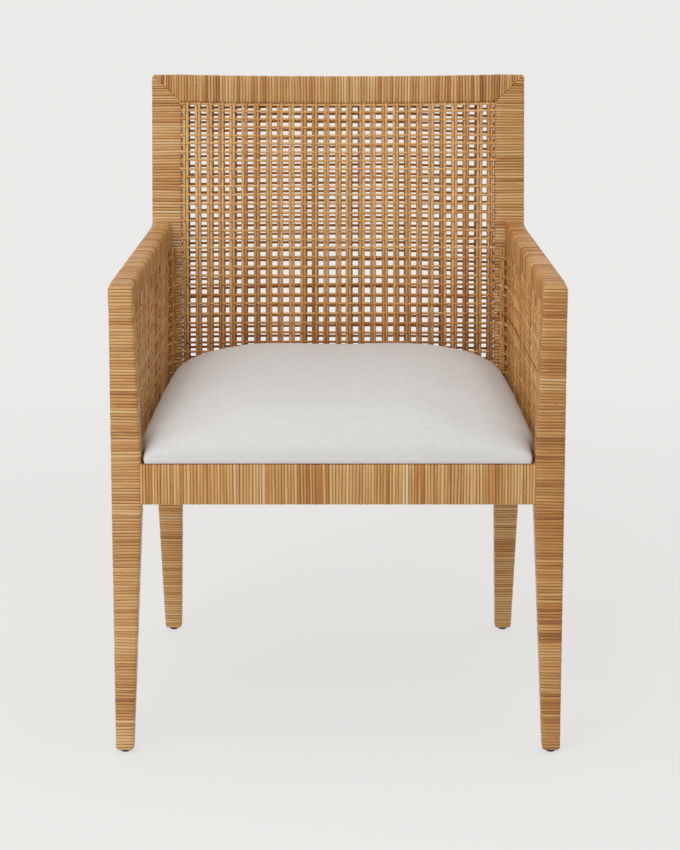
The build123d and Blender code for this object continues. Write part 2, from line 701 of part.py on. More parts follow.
pieces |= both_sides("arm_weave_outer_warps", group(arm_warps(outside, 0, outer_layer)))
pieces |= both_sides("arm_weave_outer_wefts", group(arm_wefts(outside, 0, outer_layer, straight_shares)))
right_glides = [front_foot * glide, rear_foot * glide]
pieces["floor_glides"] = group(right_glides + [mirror(g, Plane.YZ) for g in right_glides])

os.makedirs("parts", exist_ok=True)
for name, piece in pieces.items():
    export_step(piece, f"parts/{name}.step")
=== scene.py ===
import math

import bmesh
import bpy
import numpy as np
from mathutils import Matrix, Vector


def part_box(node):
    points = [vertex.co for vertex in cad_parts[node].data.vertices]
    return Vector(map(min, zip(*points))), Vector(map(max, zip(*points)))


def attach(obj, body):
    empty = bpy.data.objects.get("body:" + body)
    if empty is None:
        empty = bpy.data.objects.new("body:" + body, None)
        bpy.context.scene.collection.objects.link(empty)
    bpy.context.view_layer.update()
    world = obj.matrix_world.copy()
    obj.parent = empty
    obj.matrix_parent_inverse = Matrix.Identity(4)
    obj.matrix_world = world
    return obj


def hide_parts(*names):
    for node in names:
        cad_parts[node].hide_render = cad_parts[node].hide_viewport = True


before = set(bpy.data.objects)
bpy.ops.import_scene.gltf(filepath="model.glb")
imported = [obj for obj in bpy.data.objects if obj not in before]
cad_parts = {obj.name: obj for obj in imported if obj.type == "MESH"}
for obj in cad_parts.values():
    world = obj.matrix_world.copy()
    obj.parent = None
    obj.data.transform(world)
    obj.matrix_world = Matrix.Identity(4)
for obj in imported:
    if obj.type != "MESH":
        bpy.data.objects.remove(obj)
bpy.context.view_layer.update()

# Hardwood frame
# Legs, posts, arms and rails are planed hardwood, joined by glued mortise and tenon.
# The rattan covers all of them, so they keep their solids and only take a wood finish.
WOOD_DARK = (0.23, 0.12, 0.055)
WOOD_LIGHT = (0.44, 0.27, 0.14)
FRAME_NODES = ["crest_rail", "front_seat_rail", "rear_seat_rail"]
FRAME_NODES += [
    f"{member}_{side}"
    for member in ("front_leg", "rear_post", "arm_rail", "side_seat_rail")
    for side in ("left", "right")
]


def new_finish(name, roughness):
    """A material, its node tree and its main shader."""
    material = bpy.data.materials.new(name)
    material.use_nodes = True
    shader = material.node_tree.nodes["Principled BSDF"]
    shader.inputs["Roughness"].default_value = roughness
    return material, material.node_tree, shader


def object_noise(tree, stretch, scale, detail=4.0):
    """Noise fixed to the object, stretched along its axes."""
    place = tree.nodes.new("ShaderNodeTexCoord")
    mapping = tree.nodes.new("ShaderNodeMapping")
    mapping.inputs["Scale"].default_value = stretch
    noise = tree.nodes.new("ShaderNodeTexNoise")
    noise.inputs["Scale"].default_value = scale
    noise.inputs["Detail"].default_value = detail
    tree.links.new(place.outputs["Object"], mapping.inputs["Vector"])
    tree.links.new(mapping.outputs["Vector"], noise.inputs["Vector"])
    return noise.outputs["Fac"]


def ramp(tree, factor, stops):
    """Colours along a factor, given as (place, colour) stops."""
    node = tree.nodes.new("ShaderNodeValToRGB")
    band = node.color_ramp
    while len(band.elements) < len(stops):
        band.elements.new(0.5)
    for element, (place, colour) in zip(band.elements, stops):
        element.position = place
        element.color = (*colour, 1.0)
    tree.links.new(factor, node.inputs["Fac"])
    return node.outputs["Color"]


def raise_bump(tree, shader, height, strength, distance):
    node = tree.nodes.new("ShaderNodeBump")
    node.inputs["Strength"].default_value = strength
    node.inputs["Distance"].default_value = distance
    tree.links.new(height, node.inputs["Height"])
    tree.links.new(node.outputs["Normal"], shader.inputs["Normal"])


def wood_finish(name, dark, light, stretch):
    material, tree, shader = new_finish(name, 0.55)
    grain = object_noise(tree, stretch, 22.0)
    tree.links.new(ramp(tree, grain, ((0.3, dark), (0.7, light))), shader.inputs["Base Color"])
    raise_bump(tree, shader, grain, 0.2, 0.0006)
    return material


def dress(node, material):
    """Gives a carried-over solid its finish."""
    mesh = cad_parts[node].data
    mesh.materials.clear()
    mesh.materials.append(material)


planed_wood = wood_finish("planed_hardwood", WOOD_DARK, WOOD_LIGHT, (1.0, 1.0, 0.12))
for node in FRAME_NODES:
    dress(node, planed_wood)

# Seat deck
# A plywood board rests on the front rail and four sawn corner blocks glued into the frame.
# A zinc-plated screw through each block holds it from below.
sawn_wood = wood_finish("sawn_hardwood", (0.36, 0.22, 0.11), (0.58, 0.42, 0.24), (1.0, 0.15, 1.0))
plywood = wood_finish("plywood", (0.50, 0.36, 0.20), (0.70, 0.56, 0.36), (1.0, 0.1, 14.0))
for corner in ("front", "rear"):
    for side in ("left", "right"):
        dress(f"{corner}_corner_block_{side}", sawn_wood)
dress("seat_board", plywood)

zinc, tree, shader = new_finish("zinc_plate", 0.35)
shader.inputs["Metallic"].default_value = 1.0
tarnish = object_noise(tree, (1.0, 1.0, 1.0), 400.0)
zinc_tones = ((0.3, (0.46, 0.42, 0.33)), (0.7, (0.66, 0.63, 0.55)))
tree.links.new(ramp(tree, tarnish, zinc_tones), shader.inputs["Base Color"])
dress("seat_screws", zinc)

# Floor glides
# A nail-on glide under each foot, with a domed head pressed from sheet steel and enamelled black.
# Its pin is driven into the end of the leg, so the wrap ends just above the floor.
enamel, tree, shader = new_finish("black_enamel", 0.3)
shader.inputs["Specular IOR Level"].default_value = 0.2
shader.inputs["Coat Weight"].default_value = 0.15
shader.inputs["Coat Roughness"].default_value = 0.1
scuffs = object_noise(tree, (1.0, 1.0, 1.0), 900.0)
enamel_tones = ((0.35, (0.004, 0.004, 0.005)), (0.75, (0.016, 0.016, 0.018)))
tree.links.new(ramp(tree, scuffs, enamel_tones), shader.inputs["Base Color"])
dress("floor_glides", enamel)

# Front legs
# Each leg is wound from foot to arm with split rattan about 4 mm wide, turn close on turn.
# The strand goes on over the front of the arm, so the arm's end shows the leg's turns.
MM = 0.001
STRAND_PITCH = 4.2 * MM
STRAND_GROOVE = 0.95 * MM
CORNER_ROUND = 4.0 * MM
CORNER_STEPS = 3
SIDE_STEPS = 2
# Places across one turn and how deep the surface lies there, as a share of the groove
TURN_PROFILE = ((0.0, 1.0), (0.1, 0.62), (0.28, 0.13), (0.5, 0.0), (0.72, 0.13), (0.9, 0.62))
LEG_WIDTH = 40.0 * MM
LEG_DEPTH = 44.0 * MM
LEG_FOOT_WIDTH = 24.5 * MM
LEG_FOOT_DEPTH = 28.0 * MM
FOOT_EASE = 1.8 * MM
FOOT_EASE_HEIGHT = 2.6 * MM
SEAT_DEPTH = 486.0 * MM
ARM_FRONT_WIDTH = 33.0 * MM
ARM_FRONT_HEIGHT = 29.0 * MM
ARM_COVER = 0.8 * MM
# Tone of each leg's winding; the right leg's is lower as painted shade, darker away from the light on the
# left
LEG_TONE_AND_SIDE_SHADE = {"left": 0.46, "right": 0.38}
STRAND_TONES = (
    (0.0, (0.300, 0.102, 0.022)),
    (0.3, (0.508, 0.234, 0.060)),
    (0.6, (0.672, 0.394, 0.148)),
    (1.0, (0.806, 0.580, 0.340)),
)
# Painted shade: the dark colour that the grooves between turns are mixed towards
PAINTED_GROOVE_SHADE = (0.110, 0.038, 0.010)
# Painted shade in the grooves: least and most of its share between turns, and its share at a winding's cut
# ends
GROOVE_SHADE_RANGE = (0.55, 1.1)
END_GROOVE_SHADE = 0.2
TURN_LIFT = 0.12 * MM
TURN_LEAN = 1.6 * MM
LEAN_FADE_TURNS = 6
TURN_UNEVENNESS = 0.08
leg_low, leg_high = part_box("front_leg_wrap_right")
SIDE = leg_high.x
FRONT = leg_low.y
LEG_BACK = FRONT + LEG_DEPTH
SEAT_BACK = FRONT + SEAT_DEPTH
FOOT = leg_low.z
rail_low, rail_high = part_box("front_rail_wrap")
RAIL_BOTTOM = rail_low.z
RAIL_TOP = rail_high.z
ARM_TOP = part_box("arm_wrap_right")[1].z


def rattan_finish():
    """Lacquered rattan: a tone for each strand, fibres along it, knots, and painted shade in the grooves
    between turns.
    """
    material, tree, shader = new_finish("lacquered_rattan", 0.36)
    shader.inputs["Specular IOR Level"].default_value = 0.22
    shader.inputs["Coat Weight"].default_value = 0.25
    shader.inputs["Coat Roughness"].default_value = 0.18
    links = tree.links
    tone = tree.nodes.new("ShaderNodeAttribute")
    tone.attribute_name = "tone"
    parts = tree.nodes.new("ShaderNodeSeparateColor")
    links.new(tone.outputs["Color"], parts.inputs["Color"])
    place = tree.nodes.new("ShaderNodeAttribute")
    place.attribute_name = "strand"

    def strand_noise(stretch, detail):
        mapping = tree.nodes.new("ShaderNodeMapping")
        mapping.inputs["Scale"].default_value = stretch
        noise = tree.nodes.new("ShaderNodeTexNoise")
        noise.inputs["Scale"].default_value = 1.0
        noise.inputs["Detail"].default_value = detail
        links.new(place.outputs["Vector"], mapping.inputs["Vector"])
        links.new(mapping.outputs["Vector"], noise.inputs["Vector"])
        return noise.outputs["Fac"]

    def combine(operation, first, second):
        node = tree.nodes.new("ShaderNodeMath")
        node.operation = operation
        for socket, value in zip(node.inputs, (first, second)):
            if isinstance(value, float):
                socket.default_value = value
            else:
                links.new(value, socket)
        return node.outputs["Value"]

    drift = combine("MULTIPLY", combine("SUBTRACT", strand_noise((14.0, 0.9, 1.0), 3.0), 0.5), 0.75)
    fibre = combine("MULTIPLY", combine("SUBTRACT", strand_noise((60.0, 7.0, 1.0), 2.0), 0.5), 0.35)
    level = combine("ADD", parts.outputs["Red"], combine("ADD", drift, fibre))
    knots = combine("GREATER_THAN", strand_noise((95.0, 0.8, 3.0), 0.0), 0.83)
    level = combine("SUBTRACT", level, combine("MULTIPLY", knots, 0.22))
    # Painted shade: the groove share mixes each strand's colour towards the dark groove colour
    shade = tree.nodes.new("ShaderNodeMix")
    shade.data_type = "RGBA"
    links.new(ramp(tree, level, STRAND_TONES), shade.inputs["A"])
    shade.inputs["B"].default_value = (*PAINTED_GROOVE_SHADE, 1.0)
    links.new(combine("MULTIPLY", parts.outputs["Green"], 0.85), shade.inputs["Factor"])
    links.new(shade.outputs["Result"], shader.inputs["Base Color"])
    raise_bump(tree, shader, strand_noise((40.0, 9.0, 1.0), 3.0), 0.25, 0.0004)
    return material


rattan = rattan_finish()


def ring_outline(width, depth, near_round, far_round):
    """Rounded outline round a member: places along its width and its depth, and outward directions."""
    corners = (
        (near_round, near_round, near_round, 180),
        (width - far_round, far_round, far_round, 270),
        (width - far_round, depth - far_round, far_round, 0),
        (near_round, depth - near_round, near_round, 90),
    )
    points = []
    for index, (along, through, radius, start) in enumerate(corners):
        for step in range(CORNER_STEPS + 1):
            angle = math.radians(start + 90 * step / CORNER_STEPS)
            out = (math.cos(angle), math.sin(angle))
            points.append((along + radius * out[0], through + radius * out[1], *out))
        last = points[-1]
        along, through, radius, start = corners[(index + 1) % 4]
        angle = math.radians(start)
        next_place = (along + radius * math.cos(angle), through + radius * math.sin(angle))
        for step in range(1, SIDE_STEPS + 1):
            share = step / (SIDE_STEPS + 1)
            points.append(
                (
                    last[0] + (next_place[0] - last[0]) * share,
                    last[1] + (next_place[1] - last[1]) * share,
                    last[2],
                    last[3],
                )
            )
    shape = np.shape(width)
    return [np.stack([np.broadcast_to(p[i], shape) for p in points], axis=-1) for i in range(4)]


def even_turns(start, end, spread, chance):
    """Edges of turns of about a strand's width between two places, with hand-wound unevenness."""
    count = max(round((end - start) / STRAND_PITCH), 1)
    widths = 1.0 + spread * chance.standard_normal(count).clip(-2, 2)
    return start + (end - start) * np.concatenate(([0.0], np.cumsum(widths) / widths.sum()))


def turn_tones(count, chance, base, group_spread=0.06, turn_spread=0.1):
    """A tone for each turn: runs of turns come from one strand, with small changes between turns."""
    tones = []
    while len(tones) < count:
        run = int(chance.integers(4, 13))
        tones += [base + group_spread * chance.standard_normal()] * run
    return np.array(tones[:count]) + turn_spread * chance.standard_normal(count)


def strand_mesh(name, points, faces, strand, tone):
    """A rattan piece from its points and faces, with each point's place on its strand and its tone."""
    mesh = bpy.data.meshes.new(name)
    corner = points[[face[0] for face in faces]]
    second = points[[face[1] for face in faces]]
    third = points[[face[2] for face in faces]]
    if np.einsum("ij,ij->", corner, np.cross(second, third)) < 0:
        faces = [face[::-1] for face in faces]
    mesh.from_pydata(points.tolist(), [], faces)
    mesh.attributes.new("strand", "FLOAT_VECTOR", "POINT").data.foreach_set("vector", strand.ravel())
    mesh.attributes.new("tone", "FLOAT_COLOR", "POINT").data.foreach_set("color", tone.ravel())
    mesh.shade_smooth()
    mesh.materials.append(rattan)
    piece = bpy.data.objects.new(name, mesh)
    bpy.context.scene.collection.objects.link(piece)
    return piece


def tube_faces(rings, around, first=0):
    """Faces of a closed tube of rings, with both ends capped."""
    ring = first + np.arange(rings * around).reshape(rings, around)
    turned = np.roll(ring, -1, axis=1)
    quads = np.stack([ring[:-1], turned[:-1], turned[1:], ring[1:]], axis=-1).reshape(-1, 4)
    return quads.tolist() + [ring[0, ::-1].tolist(), ring[-1].tolist()]


def section_reach(sections):
    """How far along a member each of its sections lies."""
    middles = np.array([np.add(s[0], np.add(s[1], s[2]) / 2) for s in sections])
    steps = np.linalg.norm(np.diff(middles, axis=0), axis=1)
    return np.concatenate(([0.0], np.cumsum(steps)))


def wind(name, sections, edges, tones, chance, mirrored):
    """Winds strand round a member.

    Each section is a corner, two sides and the rounds at each end of the first.
    """
    reach = section_reach(sections)
    corners, widths, depths = (np.array([s[i] for s in sections], float) for i in range(3))
    rounds = np.array([s[3:5] for s in sections], float)

    def between(values, at):
        return np.stack([np.interp(at, reach, column) for column in values.T], axis=-1)

    profile = np.array(TURN_PROFILE)
    turns = len(edges) - 1
    spans = np.diff(edges)
    at = (edges[:-1, None] + spans[:, None] * profile[:, 0]).ravel()
    at = np.append(at, edges[-1])
    height = np.tile(profile[:, 1], (turns, 1))
    lift = TURN_LIFT * chance.standard_normal(turns).clip(-2, 2)
    deep = -STRAND_GROOVE * height + lift[:, None] * (1.0 - height)
    deep = np.append(deep.ravel(), -STRAND_GROOVE)
    # Painted shade in the grooves between turns: a darkness for each groove, less at the winding's cut ends
    dark = chance.uniform(*GROOVE_SHADE_RANGE, turns + 1)
    dark[[0, -1]] = END_GROOVE_SHADE
    groove_shade = height * np.where(profile[:, 0] < 0.5, dark[:-1, None], dark[1:, None])
    groove_shade = np.append(groove_shade.ravel(), dark[-1])
    tone = np.append(np.repeat(tones, len(profile)), tones[-1])
    turn = np.append(np.repeat(np.arange(turns), len(profile)) + np.tile(profile[:, 0], turns), turns)
    lean = np.convolve(chance.standard_normal(turns + 16), np.ones(9) / 9, mode="same")[8:-8]
    lean = np.append(np.repeat(lean, len(profile)), lean[-1]) * TURN_LEAN
    from_end = np.minimum(at - edges[0], edges[-1] - at)
    lean *= np.clip(from_end / (LEAN_FADE_TURNS * STRAND_PITCH), 0.0, 1.0)

    width = np.linalg.norm(between(widths, at), axis=-1)
    depth = np.linalg.norm(between(depths, at), axis=-1)
    round_at = between(rounds, at)
    along, through, out_along, out_through = ring_outline(width, depth, round_at[:, 0], round_at[:, 1])
    around = along.shape[1]
    place = at[:, None] + lean[:, None] * (along / width[:, None] - 0.5)
    place = place.clip(edges[0], edges[-1])
    side = between(widths, place)
    side /= np.linalg.norm(side, axis=-1, keepdims=True)
    back = between(depths, place)
    back /= np.linalg.norm(back, axis=-1, keepdims=True)
    points = between(corners, place) + side * along[..., None] + back * through[..., None]
    points += (side * out_along[..., None] + back * out_through[..., None]) * deep[:, None, None]
    points = points.reshape(-1, 3)
    if mirrored:
        points = points * (-1, 1, 1)
    step_along = np.diff(along, axis=1, prepend=along[:, :1])
    step_through = np.diff(through, axis=1, prepend=through[:, :1])
    length = np.cumsum(np.hypot(step_along, step_through), axis=1)

    def every_point(values):
        return np.broadcast_to(values[:, None], length.shape)

    number = np.floor(turn)
    strand = [length + every_point(number * 0.37), every_point(turn), every_point(number * 1.7)]
    strand = np.stack(strand, axis=-1)
    colour = [every_point(v) for v in (tone, groove_shade, np.zeros_like(tone), np.ones_like(tone))]
    colour = np.stack(colour, axis=-1)
    faces = tube_faces(len(at), around)
    return strand_mesh(name, points, faces, strand.reshape(-1, 3), colour.reshape(-1, 4))


def wrap_piece(piece, node):
    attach(piece, "root")
    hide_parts(node)


def leg_section(z, width, depth, front=0.0, cover=0.0):
    corner = (SIDE - width + cover, FRONT + front, z)
    return corner, (width - 2 * cover, 0, 0), (0, depth - front, 0), CORNER_ROUND, CORNER_ROUND


leg_sections = [
    leg_section(FOOT, LEG_FOOT_WIDTH, LEG_FOOT_DEPTH - FOOT_EASE, front=FOOT_EASE, cover=FOOT_EASE),
    leg_section(FOOT + FOOT_EASE_HEIGHT, LEG_FOOT_WIDTH, LEG_FOOT_DEPTH),
    leg_section(RAIL_BOTTOM, LEG_WIDTH, LEG_DEPTH),
    leg_section(RAIL_TOP, LEG_WIDTH, LEG_DEPTH),
    leg_section(ARM_TOP - ARM_FRONT_HEIGHT, ARM_FRONT_WIDTH, LEG_DEPTH, cover=0.3 * MM),
    leg_section(ARM_TOP - 4 * MM, ARM_FRONT_WIDTH, LEG_DEPTH, cover=ARM_COVER),
    leg_section(ARM_TOP - 1 * MM, ARM_FRONT_WIDTH, LEG_DEPTH, front=1.6 * MM, cover=2 * ARM_COVER),
]
for seed, side in enumerate(("left", "right")):
    chance = np.random.default_rng(100 + seed)
    edges = even_turns(0.0, section_reach(leg_sections)[-1], TURN_UNEVENNESS, chance)
    tones = turn_tones(len(edges) - 1, chance, LEG_TONE_AND_SIDE_SHADE[side])
    leg_wrap = wind(f"leg_winding_{side}", leg_sections, edges, tones, chance, side == "left")
    wrap_piece(leg_wrap, f"front_leg_wrap_{side}")

# Rear posts
# Each post runs from its kicked foot to the crest, raked above the seat, and is wound like the legs.
# Every third turn above the seat is the end of a strand of the back's weave, wound round the post.
POST_WIDTH = 44.0 * MM
POST_DEPTH = 38.0 * MM
POST_FOOT_WIDTH = 25.0 * MM
POST_FOOT_DEPTH = 28.0 * MM
FOOT_KICK = 77.0 * MM
BACK_LENGTH = 458.5 * MM
RAKE = math.radians(10.8)
CREST_HEIGHT = 41.0 * MM
WEFT_PITCH = 13.2 * MM
WEFT_SPREAD = 0.11
CREST_BOTTOM = BACK_LENGTH - CREST_HEIGHT
POST_SPAN = POST_DEPTH / math.cos(RAKE)
BACK_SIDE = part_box("rear_post_wrap_right")[1].x
BACK_INSIDE = BACK_SIDE - POST_WIDTH
THROUGH_BACK = np.array((0.0, math.cos(RAKE), -math.sin(RAKE)))
UP_BACK = np.array((0.0, math.sin(RAKE), math.cos(RAKE)))
MITRE_ROUND = 0.6 * MM
MITRE_UNEVENNESS = 0.04
RAKED_FROM = 40.0 * MM
# Tone of each post's winding; the right post's is lower as painted shade, darker away from the light on the
# left
POST_TONE_AND_SIDE_SHADE = {"left": 0.55, "right": 0.48}
WOVEN_TURN_TONE = 0.1
weft_bottom = POST_DEPTH * math.tan(RAKE)
weft_spaces = round((CREST_BOTTOM - weft_bottom) / WEFT_PITCH)


def weft_rise(number):
    """How far up the back its strands across lie, wider apart at the seat than at the crest."""
    share = np.asarray(number) / weft_spaces
    return weft_bottom + (CREST_BOTTOM - weft_bottom) * share * (1.0 + WEFT_SPREAD * (1.0 - share))


def back_point(x, deep, up):
    """A place in the raked back: across the chair, through the back and up along it."""
    x, deep, up = np.broadcast_arrays(x, deep, up)
    origin = np.array((0.0, SEAT_BACK, RAIL_TOP))
    sideways = x[..., None] * np.array((1.0, 0, 0))
    return origin + sideways + deep[..., None] * THROUGH_BACK + up[..., None] * UP_BACK


def level_post_section(z, x, width, y, depth):
    return (x, y, z), (width, 0, 0), (0, depth, 0), CORNER_ROUND, CORNER_ROUND


def raked_post_section(up, inner, near_round):
    corner = back_point(inner, 0.0, up)
    return corner, (BACK_SIDE - inner, 0, 0), THROUGH_BACK * POST_DEPTH, near_round, CORNER_ROUND


def mitre_inner(up):
    return BACK_INSIDE + (up - CREST_BOTTOM) * POST_WIDTH / CREST_HEIGHT


foot_x = BACK_SIDE - (POST_WIDTH + POST_FOOT_WIDTH) / 2
foot_y = SEAT_BACK + FOOT_KICK
eased_y = foot_y - FOOT_KICK * FOOT_EASE_HEIGHT / (RAIL_BOTTOM - FOOT)
eased_foot = (POST_FOOT_WIDTH - 2 * FOOT_EASE, foot_y + FOOT_EASE, POST_FOOT_DEPTH - 2 * FOOT_EASE)
post_sections = [
    level_post_section(FOOT, foot_x + FOOT_EASE, *eased_foot),
    level_post_section(FOOT + FOOT_EASE_HEIGHT, foot_x, POST_FOOT_WIDTH, eased_y, POST_FOOT_DEPTH),
    level_post_section(RAIL_BOTTOM, BACK_INSIDE, POST_WIDTH, SEAT_BACK, POST_SPAN),
    level_post_section(RAIL_TOP, BACK_INSIDE, POST_WIDTH, SEAT_BACK, POST_SPAN),
    raked_post_section(RAKED_FROM, BACK_INSIDE, CORNER_ROUND),
    raked_post_section(CREST_BOTTOM - 3 * MM, BACK_INSIDE, CORNER_ROUND),
    raked_post_section(CREST_BOTTOM + 1 * MM, mitre_inner(CREST_BOTTOM + 1 * MM), MITRE_ROUND),
    raked_post_section(BACK_LENGTH - 6 * MM, mitre_inner(BACK_LENGTH - 6 * MM), MITRE_ROUND),
    raked_post_section(BACK_LENGTH - 3 * MM, mitre_inner(BACK_LENGTH - 3 * MM), MITRE_ROUND),
]
post_reach = section_reach(post_sections)
rake_start = post_reach[4] - RAKED_FROM
for seed, side in enumerate(("left", "right")):
    chance = np.random.default_rng(200 + seed)
    weft_edges = rake_start + weft_rise((np.arange(3, 3 * weft_spaces + 1) - 0.5) / 3)
    low_edges = even_turns(0.0, weft_edges[0], TURN_UNEVENNESS, chance)
    top_edges = even_turns(weft_edges[-1], post_reach[-1], MITRE_UNEVENNESS, chance)
    edges = np.concatenate((low_edges[:-1], weft_edges, top_edges[1:]))
    tones = turn_tones(len(edges) - 1, chance, POST_TONE_AND_SIDE_SHADE[side])
    first_weft = len(low_edges) - 1
    tones[first_weft : first_weft + 3 * (weft_spaces - 1) : 3] += WOVEN_TURN_TONE
    post_wrap = wind(f"post_winding_{side}", post_sections, edges, tones, chance, side == "left")
    wrap_piece(post_wrap, f"rear_post_wrap_{side}")

# Seat rails
# Four rails between legs and posts, wound with the same strand at right angles to their length.
# The front rail's strands are the most mixed in tone, straw to red-brown.
FRONT_RAIL_THICKNESS = 27.0 * MM
ARM_REAR_WIDTH = 28.0 * MM
RAIL_SINK = 1.5 * MM
RAIL_UNEVENNESS = 0.1
RAIL_TONE = 0.46
rail_rise = (0, 0, RAIL_TOP - RAIL_BOTTOM)


def along_side(y, front_x, rear_x):
    """Plan line of arms and side rails: straight past the leg, then drawn in to the rear post."""
    share = np.clip((y - LEG_BACK) / (SEAT_BACK - LEG_BACK), 0.0, 1.0)
    return front_x + (rear_x - front_x) * share


def outside(y):
    return along_side(y, SIDE, BACK_SIDE)


def inside(y):
    return along_side(y, SIDE - ARM_FRONT_WIDTH, BACK_SIDE - ARM_REAR_WIDTH)


def cross_rail(half_length, front, thickness):
    reach = half_length + RAIL_SINK
    rounds = (CORNER_ROUND, CORNER_ROUND)
    return [((x, front, RAIL_BOTTOM), rail_rise, (0, thickness, 0), *rounds) for x in (reach, -reach)]


def side_rail_section(y, at):
    corner = (inside(at), y, RAIL_BOTTOM)
    return corner, rail_rise, (outside(at) - inside(at), 0, 0), CORNER_ROUND, CORNER_ROUND


rails = {
    "front_rail": cross_rail(SIDE - LEG_WIDTH, FRONT, FRONT_RAIL_THICKNESS),
    "rear_rail": cross_rail(BACK_INSIDE, SEAT_BACK, POST_SPAN),
    "side_rail_left": [
        side_rail_section(LEG_BACK - RAIL_SINK, LEG_BACK),
        side_rail_section(SEAT_BACK + RAIL_SINK, SEAT_BACK),
    ],
}
rails["side_rail_right"] = rails["side_rail_left"]
for seed, (rail, sections) in enumerate(rails.items()):
    chance = np.random.default_rng(300 + seed)
    edges = even_turns(0.0, section_reach(sections)[-1], RAIL_UNEVENNESS, chance)
    tones = turn_tones(len(edges) - 1, chance, RAIL_TONE, group_spread=0.09, turn_spread=0.12)
    rail_wrap = wind(f"{rail}_winding", sections, edges, tones, chance, rail == "side_rail_left")
    wrap_piece(rail_wrap, rail.replace("rail", "rail_wrap"))

# Arms
# Each arm lies over its front leg and deepens towards the rear post, which it butts against.
# Its strand runs across the top and down both faces.
ARM_REAR_HEIGHT = 41.0 * MM
ARM_TOP_ROUND = 7.0 * MM
ARM_TONE = 0.36
arm_end = SEAT_BACK + (ARM_TOP - RAIL_TOP) * math.tan(RAKE)


def arm_underside(y):
    share = (y - FRONT) / (arm_end - FRONT)
    return ARM_TOP - ARM_FRONT_HEIGHT - (ARM_REAR_HEIGHT - ARM_FRONT_HEIGHT) * share


def arm_section(y, ease=0.0):
    low = arm_underside(y) + ease
    corner = (inside(y) + ease, y, low)
    through = (outside(y) - inside(y) - 2 * ease, 0, 0)
    return corner, (0, 0, ARM_TOP - ease - low), through, CORNER_ROUND, ARM_TOP_ROUND


arm_sections = [
    arm_section(FRONT + 1.6 * MM, 1.8 * MM),
    arm_section(FRONT + 5 * MM),
    arm_section(LEG_BACK),
    arm_section(SEAT_BACK),
    arm_section(arm_end + 2 * MM),
]
for seed, side in enumerate(("left", "right")):
    chance = np.random.default_rng(400 + seed)
    edges = even_turns(0.0, section_reach(arm_sections)[-1], RAIL_UNEVENNESS, chance)
    tones = turn_tones(len(edges) - 1, chance, ARM_TONE, group_spread=0.06, turn_spread=0.17)
    arm_wrap = wind(f"arm_winding_{side}", arm_sections, edges, tones, chance, side == "left")
    wrap_piece(arm_wrap, f"arm_wrap_{side}")

# Crest
# The top rail bows to the rear between the posts. Its strands stand upright and meet the posts' turns
# in a mitre. Two of every four turns are a pair of the back's upright strands, carried over the rail.
BACK_BOW = 30.0 * MM
PAIR_PITCH = 17.04 * MM
CREST_SECTIONS = 41
CREST_UNEVENNESS = 0.05
CREST_TONE = 0.36
PAIR_TONE = 0.52
PAIR_TONE_SPREAD = 0.09
pair_spaces = round(2 * BACK_INSIDE / PAIR_PITCH)
pair_step = 2 * BACK_INSIDE / pair_spaces


def bow(x):
    return BACK_BOW * np.clip(1.0 - (x / BACK_INSIDE) ** 2, 0.0, None)


def crest_section(x):
    past_post = max(abs(x) - BACK_INSIDE, 0.0)
    low = CREST_BOTTOM + past_post * CREST_HEIGHT / POST_WIDTH
    near_round = MITRE_ROUND if past_post else CORNER_ROUND
    corner = back_point(x, bow(x), low)
    return corner, UP_BACK * (BACK_LENGTH - low), THROUGH_BACK * POST_DEPTH, near_round, CORNER_ROUND


crest_end = BACK_SIDE - 3 * MM
bowed_x = np.linspace(BACK_INSIDE, -BACK_INSIDE, CREST_SECTIONS)
mitre_x = [crest_end, BACK_SIDE - 6 * MM, BACK_INSIDE + 1 * MM]
crest_x = [*mitre_x, *bowed_x, *(-x for x in reversed(mitre_x))]
crest_sections = [crest_section(x) for x in crest_x]
crest_reach = section_reach(crest_sections)
chance = np.random.default_rng(500)
pair_edges = np.linspace(-BACK_INSIDE, BACK_INSIDE, 4 * pair_spaces + 1)
pair_edges = np.sort(np.interp(pair_edges, crest_x[::-1], crest_reach[::-1]))
first_edges = even_turns(0.0, pair_edges[0], CREST_UNEVENNESS, chance)
last_edges = even_turns(pair_edges[-1], crest_reach[-1], CREST_UNEVENNESS, chance)
edges = np.concatenate((first_edges[:-1], pair_edges, last_edges[1:]))
tones = turn_tones(len(edges) - 1, chance, CREST_TONE, group_spread=0.06, turn_spread=0.15)
for turn in range(len(pair_edges) - 1):
    if turn % 4 in (1, 2):
        tones[len(first_edges) - 1 + turn] = PAIR_TONE + PAIR_TONE_SPREAD * chance.standard_normal()
crest_wrap = wind("crest_winding", crest_sections, edges, tones, chance, False)
wrap_piece(crest_wrap, "crest_wrap")

# Back weave
# Two layers of open plain weave: upright strands in pairs, and single strands across that pass over one and
# under the next. The rear layer's strands lie half a step lower, so they show in the front layer's gaps.
STRAND_WIDTH = 4.1 * MM
STRAND_THICKNESS = 2.2 * MM
PAIR_GAP = 0.4 * MM
WEFT_WIDTH = 3.6 * MM
LAYER_DEPTH = 8.0 * MM
WARP_WAVE = 0.55 * MM
WEFT_WAVE = 1.4 * MM
# The pairs stand a little wider than their even pitch, and wider again at the crest
PAIR_SPREAD = 1.008
TOP_SPREAD = 0.004
PAIR_PLAY = 0.7 * MM
WARP_SWAY = 0.5 * MM
WARP_SWAY_LENGTH = 140.0 * MM
WEFT_SWAY = 0.5 * MM
WEFT_SWAY_LENGTH = 70.0 * MM
WEFT_PLAY = 0.4 * MM
STRAND_SINK = 3.0 * MM
# The rear layer's strands drift from their even places in long waves and droop towards the posts
DRIFT_LIFT = 0.65
DRIFT_MIDDLE = 150.0 * MM
DRIFT_LENGTH = 40.0 * MM
DROOP_FROM = 0.4
DROOP_LEFT = 0.95
DROOP_RIGHT = 1.65
WARP_TONES = 0.1
WEFT_TONES = 0.09
WEFT_TONE_LIFT = 0.05
